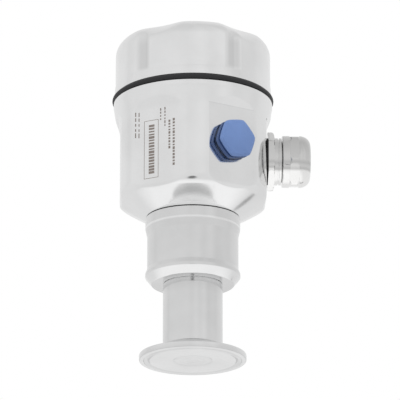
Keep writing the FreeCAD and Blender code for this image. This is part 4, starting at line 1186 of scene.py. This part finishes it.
# The flange's edges: inset from its corners, and height over its inner face
FLANGE_EDGES = (
    (0.00025, 0.0), (0.0, 0.00025), (0.0, 0.0022), (0.0004, 0.0026), (0.0012, 0.0029), (0.0016, 0.0030))
HEXAGON_EASE = 0.0003
# Turned relief between the entry thread and the flange, and rounding of the neck's groove and end
ENTRY_RELIEF = 0.0010
GROOVE_EDGE = 0.00012
NECK_EDGE = 0.0002
# The nut's edges, and the turned-down corners of its hexagon: step under the collar, and how fast they swell
NUT_EDGE = 0.0004
MOUTH_EDGE = 0.0003
BAND_EDGE = 0.0001
CORNER_STEP = 0.0002
CORNER_SWELL = 0.0008


def gland_body_rows(sizes):
    """Rings of the gland's body: entry thread, flange, neck, cap thread, and back through the grommet's pocket."""
    thread = (sizes.thread_depth, sizes.thread_pitch)
    flange = flat_reach(sizes.flange_apothem, sizes.flange_turn, 6)
    corner = sizes.flange_apothem / math.cos(FLAT_STEP / 2)
    rows = [(sizes.bore, sizes.shank_start), (sizes.thread_radius - THREAD_CHAMFER, sizes.shank_start)]
    rows += thread_rows(sizes.thread_radius, *thread, sizes.shank_start + THREAD_CHAMFER,
                        sizes.flange_start - ENTRY_RELIEF)
    rows += [(sizes.thread_radius, sizes.flange_start)]
    for inset, height in FLANGE_EDGES:
        rows.append((soft_min(flange, corner - inset, HEXAGON_EASE), sizes.flange_start + height))
    groove, groove_end = sizes.groove_start, sizes.groove_start + sizes.groove_width
    groove_floor = sizes.neck_radius - sizes.groove_width
    rows += eased([
        (sizes.neck_radius, sizes.flange_end, 0),
        (sizes.neck_radius, groove, GROOVE_EDGE),
        (groove_floor, groove, 0),
        (groove_floor, groove_end, 0),
        (sizes.neck_radius, groove_end, GROOVE_EDGE),
        (sizes.neck_radius, sizes.neck_end, NECK_EDGE),
        (sizes.cap_thread, sizes.neck_end, 0),
    ])
    rows += thread_rows(sizes.cap_thread, *thread, sizes.neck_end + NECK_EDGE, sizes.end - CAP_CHAMFER)
    return rows + [
        (sizes.cap_thread - CAP_CHAMFER, sizes.end),
        (sizes.pocket_radius, sizes.end),
        (sizes.pocket_radius, sizes.pocket_start),
        (sizes.bore, sizes.pocket_start),
    ]


def gland_nut_rows(sizes):
    """Rings of the cap nut: collar, hexagon band, rounded end, and back through the mouth."""
    hexagon = flat_reach(sizes.nut_apothem, sizes.nut_turn, 6)
    rows = eased([
        (sizes.nut_thread, sizes.nut_start, 0),
        (sizes.nut_radius, sizes.nut_start, NUT_EDGE),
        (sizes.nut_radius, sizes.nut_hex_start, 0),
    ])
    for height in np.linspace(sizes.nut_hex_start + BAND_EDGE, sizes.nut_hex_end - BAND_EDGE, 24):
        edge = min(height - sizes.nut_hex_start, sizes.nut_hex_end - height)
        swell = sizes.nut_radius - CORNER_STEP + math.sqrt(edge * CORNER_SWELL)
        rows.append((soft_min(hexagon, min(sizes.nut_corner, swell), HEXAGON_EASE), height))
    rise = sizes.nut_end - sizes.nut_hex_end
    sweep = sizes.nut_radius - sizes.nut_end_radius
    for turn in np.linspace(0, math.pi / 2, 16):
        rows.append((sizes.nut_end_radius + sweep * math.cos(turn), sizes.nut_hex_end + rise * math.sin(turn)))
    return rows + eased([
        (sizes.nut_end_radius, sizes.nut_end, 0),
        (sizes.nut_mouth, sizes.nut_end, MOUTH_EDGE),
        (sizes.nut_mouth, sizes.nut_floor, 0),
        (sizes.pocket_radius, sizes.nut_floor, 0),
        (sizes.nut_thread, sizes.nut_hex_end, 0),
    ])[1:]


class TRANSMITTER_OT_gland(bpy.types.Operator):
    """Cable gland with threads, hexagon flange and cap nut"""
    bl_idname = "transmitter.gland"
    bl_label = "Cable Gland"

    def execute(self, context):
        """Builds the gland's body and its nut."""
        sizes = context.scene.transmitter_gland
        place = on_flat(context.scene.transmitter_housing.flat_apothem, sizes.entry_height, 0.0)
        material = finishes()["gland"]
        piece = ring_piece("gland_entry", gland_body_rows(sizes), place)
        stands_for(piece, "gland_body", "housing", material)
        piece = ring_piece("gland_cap", gland_nut_rows(sizes), place)
        stands_for(piece, "gland_nut", "gland_nut", material)
        return {"FINISHED"}


# Softness of the plug's edges, and the turned relief at the inner end of its base
PLUG_EDGE = 0.0002
PLUG_RELIEF = 0.0008


class TRANSMITTER_OT_plug(bpy.types.Operator):
    """Blanking plug with softened edges and a threaded shank"""
    bl_idname = "transmitter.plug"
    bl_label = "Blanking Plug"

    def execute(self, context):
        """Builds the plug as rings along its axis."""
        sizes = context.scene.transmitter_plug
        gland = context.scene.transmitter_gland
        housing = context.scene.transmitter_housing
        place = on_flat(housing.flat_apothem, gland.entry_height, sizes.bearing)

        def hexagon(inset):
            """Outline of the plug's hexagon, drawn in by an inset."""
            reach = flat_reach(sizes.apothem - inset, sizes.turn, 6)
            return soft_min(reach, sizes.corner - inset, sizes.corner_ease)

        soft = PLUG_EDGE
        rows = [(0.0, sizes.start), (sizes.hollow, sizes.start), (sizes.hollow, sizes.shank_end),
                (sizes.shank_radius - THREAD_CHAMFER, sizes.shank_end)]
        rows += thread_rows(sizes.shank_radius, gland.thread_depth, gland.thread_pitch,
                            sizes.shank_end + THREAD_CHAMFER, sizes.start - PLUG_RELIEF)
        rows += [(sizes.shank_radius, sizes.start)]
        for inset, height in (
                (soft, sizes.start), (0.0, sizes.start + soft), (0.0, sizes.base_end - soft), (soft, sizes.base_end)):
            rows.append((hexagon(inset), height))
        rows += [(sizes.groove_radius, sizes.base_end), (sizes.groove_radius, sizes.head_start)]
        for inset, height in (
                (soft, sizes.head_start), (0.0, sizes.head_start + soft), (0.0, sizes.end - sizes.bevel - soft / 2),
                (soft / 2, sizes.end - sizes.bevel + soft / 4), (sizes.bevel - soft / 4, sizes.end - soft / 2),
                (sizes.bevel + soft / 2, sizes.end)):
            rows.append((hexagon(inset), height))
        rows.append((0.0, sizes.end))
        piece = ring_piece("plug_cap", rows, place)
        stands_for(piece, "blanking_plug", "blanking_plug", finishes()["plug"])
        # Painted shade: the base and the groove, which face away from the light, get the darker blue
        piece.data.materials.append(finishes()["plug_base"])
        to_flat = place.inverted()
        for face in piece.data.polygons:
            if (to_flat @ face.center).z < sizes.head_start:
                face.material_index = 1
        return {"FINISHED"}


class TRANSMITTER_OT_nodes(bpy.types.Operator):
    """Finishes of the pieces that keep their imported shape"""
    bl_idname = "transmitter.nodes"
    bl_label = "Packed Pieces"

    def execute(self, context):
        """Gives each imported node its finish."""
        made = finishes()
        for finish, nodes in NODE_FINISHES.items():
            for node in nodes:
                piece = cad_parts[node]
                piece.data.materials.clear()
                piece.data.materials.append(made[finish])
        return {"FINISHED"}


# Stage

# Greys of the room that only reflections show. Ceiling: from straight down (0) to straight up (1).
CEILING = ((0.0, 0.85), (0.68, 0.85), (0.84, 0.83), (1.0, 0.78))
# Walls: once round from behind (0) by the left (0.25), the front (0.5) and the right (0.75)
WALLS = (
    (0.0, 1.0), (0.10, 0.97), (0.155, 0.96), (0.189, 0.90), (0.222, 0.95), (0.28, 0.96), (0.33, 0.96), (0.44, 0.97),
    (0.48, 0.94), (0.53, 0.99), (0.57, 0.93), (0.62, 0.98), (0.67, 0.87), (0.73, 0.90), (0.778, 0.88), (0.81, 0.93),
    (0.90, 0.97), (1.0, 1.0))
# Darker places in the room: direction, and stops over the cosine of the angle to it
HOODS = (
    ((0.0, -0.56, 0.83), ((0.0, 1.0), (0.80, 1.0), (0.92, 0.95), (1.0, 0.94))),
)
# Floor's greys in reflections, from the axis (0) to its reach in metres (1): a painted contact shadow under the
# ferrule, a painted dark ring just outside it, a painted pool of light, and grey further out
FLOOR_LIGHT_AND_SHADOW = (
    (0.0, 0.84), (0.212, 0.86), (0.217, 0.46), (0.225, 0.46), (0.244, 1.0), (0.48, 1.0), (0.85, 0.80), (1.0, 0.80))
FLOOR_REACH = 0.12
# Painted dark spots on the floor, shown only in reflections, that paint dark reflections in the housing's underside:
# middle, half sizes, grey. They fade from a share of their half sizes outwards.
DARK_SPOTS = (((-0.007, -0.150), (0.019, 0.070), 0.25), ((0.084, 0.068), (0.022, 0.014), 0.45))
DARK_SPOT_CORE = 0.5
# The floor's half size, height, colour, and the light that it adds for the camera
FLOOR_SIZE = 4.0
FLOOR_LEVEL = -0.0003
FLOOR_TINT = (0.82, 0.82, 0.82, 1.0)
FLOOR_GLOW = 0.35
# Lamps: place and size
KEY_LAMP = ((-0.9, -1.1, 1.2), 1.6)
FILL_LAMP = ((1.2, -0.6, 0.8), 1.4)
# Width of the picture in millimetres, and how far the camera sees in metres
PICTURE_WIDTH = 36.0
CLIP_END = 20.0


def ramp(node, stops):
    """Sets a grey colour ramp from (place, grey) stops."""
    elements = node.color_ramp.elements
    while len(elements) < len(stops):
        elements.new(0.5)
    for element, (place, grey) in zip(elements, stops):
        element.position = place
        element.color = (grey, grey, grey, 1.0)


def studio_world(settings):
    """White to the camera, a grey room in reflections, and an even light for matt surfaces."""
    world = bpy.data.worlds.new("studio")
    bpy.context.scene.world = world
    world.use_nodes = True
    wiring = Wiring(world.node_tree)
    path = wiring.add("ShaderNodeLightPath")
    seen = wiring.maths("MAXIMUM", path.outputs["Is Camera Ray"], path.outputs["Is Glossy Ray"])
    seen = wiring.maths("MAXIMUM", seen, path.outputs["Is Transmission Ray"])
    background = world.node_tree.nodes["Background"]
    background.inputs["Color"].default_value = (1.0, 1.0, 1.0, 1.0)
    where = wiring.add("ShaderNodeTexCoord").outputs["Generated"]
    way = wiring.add("ShaderNodeSeparateXYZ", {0: where})
    height = wiring.add("ShaderNodeMapRange", {"Value": way.outputs["Z"], "From Min": -1.0, "From Max": 1.0})
    ceiling = wiring.add("ShaderNodeValToRGB", {0: height.outputs["Result"]})
    ramp(ceiling, CEILING)
    round_about = wiring.maths("ARCTAN2", way.outputs["X"], wiring.maths("MULTIPLY", way.outputs["Y"], -1.0))
    share_round = wiring.maths("MULTIPLY_ADD", round_about, 1 / TURN)
    share_round.node.inputs[2].default_value = 0.5
    walls = wiring.add("ShaderNodeValToRGB", {0: share_round})
    ramp(walls, WALLS)
    room = wiring.maths("MULTIPLY", ceiling.outputs["Color"], walls.outputs["Color"])
    for direction, stops in HOODS:
        facing = wiring.add("ShaderNodeVectorMath", {0: where, 1: direction}, operation="DOT_PRODUCT")
        hood = wiring.add("ShaderNodeValToRGB", {0: facing.outputs["Value"]})
        ramp(hood, stops)
        room = wiring.maths("MULTIPLY", room, hood.outputs["Color"])
    plain = wiring.maths("MAXIMUM", path.outputs["Is Camera Ray"], path.outputs["Is Transmission Ray"])
    shown = wiring.add("ShaderNodeMix", {"Factor": plain, 2: room, 3: 1.0})
    strength = wiring.add("ShaderNodeMix", {"Factor": seen, 2: settings.room_light, 3: shown.outputs[0]})
    wiring.put(background, "Strength", strength.outputs[0])


def studio_floor():
    """Pale floor that keeps the shadow, shows painted light and shadow and painted dark spots in reflections, and is
    clear from below.
    """
    mesh = bpy.data.meshes.new("studio_floor")
    corners = [(x * FLOOR_SIZE, y * FLOOR_SIZE, FLOOR_LEVEL) for x, y in ((-1, -1), (1, -1), (1, 1), (-1, 1))]
    mesh.from_pydata(corners, [], [(0, 1, 2, 3)])
    floor = link("studio_floor", mesh)
    material, shader, wiring = new_material("studio_floor")
    shader.inputs["Base Color"].default_value = FLOOR_TINT
    shader.inputs["Roughness"].default_value = 0.9
    shader.inputs["Specular IOR Level"].default_value = 0.0
    path = wiring.add("ShaderNodeLightPath")
    glossy = wiring.maths("MAXIMUM", path.outputs["Is Glossy Ray"], path.outputs["Is Transmission Ray"])
    where = wiring.add("ShaderNodeTexCoord").outputs["Object"]
    away = wiring.add("ShaderNodeVectorMath", {0: where}, operation="LENGTH").outputs["Value"]
    # Painted contact shadow and painted pool of light, seen only in reflections
    painted_floor = wiring.add("ShaderNodeValToRGB", {0: wiring.maths("DIVIDE", away, FLOOR_REACH)})
    ramp(painted_floor, FLOOR_LIGHT_AND_SHADOW)
    tone = painted_floor.outputs["Color"]
    # Painted dark spots, seen only in reflections
    for middle, half, grey in DARK_SPOTS:
        offset = wiring.add("ShaderNodeVectorMath", {0: where, 1: (*middle, 0.0)}, operation="SUBTRACT")
        spread = wiring.add("ShaderNodeVectorMath", {
            0: offset.outputs[0], 1: (1 / half[0], 1 / half[1], 0.0)}, operation="MULTIPLY")
        away = wiring.add("ShaderNodeVectorMath", {0: spread.outputs[0]}, operation="LENGTH").outputs["Value"]
        dark_spot = wiring.add("ShaderNodeMapRange", {
            "Value": away, "From Min": DARK_SPOT_CORE, "From Max": 1.0, "To Min": grey}, interpolation_type="SMOOTHSTEP")
        tone = wiring.maths("MULTIPLY", tone, dark_spot.outputs["Result"])
    mirrored = wiring.add("ShaderNodeEmission", {"Color": tone})
    lit = wiring.add("ShaderNodeMixShader", {0: glossy, 1: shader.outputs[0], 2: mirrored.outputs[0]})
    glow = wiring.add("ShaderNodeEmission", {"Strength": FLOOR_GLOW})
    seen = wiring.add("ShaderNodeAddShader", {0: lit.outputs[0], 1: glow.outputs[0]})
    top = wiring.add("ShaderNodeMixShader", {
        0: path.outputs["Is Camera Ray"], 1: lit.outputs[0], 2: seen.outputs[0]})
    clear = wiring.add("ShaderNodeBsdfTransparent")
    back = wiring.add("ShaderNodeNewGeometry").outputs["Backfacing"]
    both = wiring.add("ShaderNodeMixShader", {0: back, 1: top.outputs[0], 2: clear.outputs[0]})
    wiring.put(material.node_tree.nodes["Material Output"], "Surface", both.outputs[0])
    mesh.materials.append(material)


def studio_lamp(name, place, size, aim, power):
    """One soft square lamp that reflections don't show."""
    data = bpy.data.lights.new(name, "AREA")
    data.shape = "SQUARE"
    data.size = size
    data.energy = power
    lamp = bpy.data.objects.new(name, data)
    bpy.context.scene.collection.objects.link(lamp)
    lamp.visible_glossy = False
    lamp.location = place
    lamp.rotation_euler = (Vector(aim) - Vector(place)).to_track_quat("-Z", "Y").to_euler()


class TRANSMITTER_OT_studio(bpy.types.Operator):
    """Floor, light and camera"""
    bl_idname = "transmitter.studio"
    bl_label = "Studio"

    def execute(self, context):
        """Sets the stage round the transmitter."""
        scene = context.scene
        settings = scene.transmitter_studio
        scene.view_settings.view_transform = "Standard"
        studio_world(settings)
        studio_floor()
        aim = (0.0, 0.0, settings.aim_height)
        studio_lamp("key_lamp", *KEY_LAMP, aim, settings.key_power)
        studio_lamp("fill_lamp", *FILL_LAMP, aim, settings.fill_power)
        across = Vector((math.cos(settings.azimuth), math.sin(settings.azimuth), 0.0))
        back = Vector((
            math.sin(settings.azimuth) * math.cos(settings.elevation),
            -math.cos(settings.azimuth) * math.cos(settings.elevation),
            math.sin(settings.elevation)))
        target = Vector(aim) + across * settings.aim_side
        data = bpy.data.cameras.new("studio_camera")
        data.sensor_width = PICTURE_WIDTH
        data.lens = settings.lens
        data.clip_end = CLIP_END
        camera = bpy.data.objects.new("studio_camera", data)
        scene.collection.objects.link(camera)
        camera.location = target + back * settings.distance
        camera.rotation_euler = (-back).to_track_quat("-Z", "Y").to_euler()
        scene.camera = camera
        return {"FINISHED"}


class TRANSMITTER_PT_panel(bpy.types.Panel):
    """Lists the transmitter's pieces"""
    bl_idname = "TRANSMITTER_PT_panel"
    bl_label = "Pressure Transmitter"
    bl_space_type = "VIEW_3D"
    bl_region_type = "UI"
    bl_category = "Transmitter"

    def draw(self, context):
        """Draws one button for each operator."""
        for operator in OPERATORS:
            self.layout.operator(operator.bl_idname)


GROUPS = {
    "transmitter_housing": HousingSizes,
    "transmitter_cover": CoverSizes,
    "transmitter_gland": GlandSizes,
    "transmitter_plug": PlugSizes,
    "transmitter_fitting": FittingSizes,
    "transmitter_label": LabelSizes,
    "transmitter_finishes": Finishes,
    "transmitter_studio": StudioSettings,
}
OPERATORS = (
    TRANSMITTER_OT_nodes,
    TRANSMITTER_OT_housing,
    TRANSMITTER_OT_cover,
    TRANSMITTER_OT_gland,
    TRANSMITTER_OT_plug,
    TRANSMITTER_OT_fitting,
    TRANSMITTER_OT_label,
    TRANSMITTER_OT_studio,
)


def register():
    """Registers the property groups, the operators and the panel."""
    for name, group in GROUPS.items():
        bpy.utils.register_class(group)
        setattr(bpy.types.Scene, name, bpy.props.PointerProperty(type=group))
    for operator in OPERATORS:
        bpy.utils.register_class(operator)
    bpy.utils.register_class(TRANSMITTER_PT_panel)


def unregister():
    """Removes what register added."""
    bpy.utils.unregister_class(TRANSMITTER_PT_panel)
    for operator in reversed(OPERATORS):
        bpy.utils.unregister_class(operator)
    for name, group in reversed(GROUPS.items()):
        delattr(bpy.types.Scene, name)
        bpy.utils.unregister_class(group)


def main():
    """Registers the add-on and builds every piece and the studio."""
    register()
    bpy.ops.transmitter.nodes()
    bpy.ops.transmitter.housing()
    bpy.ops.transmitter.cover()
    bpy.ops.transmitter.gland()
    bpy.ops.transmitter.plug()
    bpy.ops.transmitter.fitting()
    bpy.ops.transmitter.label()
    bpy.ops.transmitter.studio()


if __name__ == "__main__":
    main()
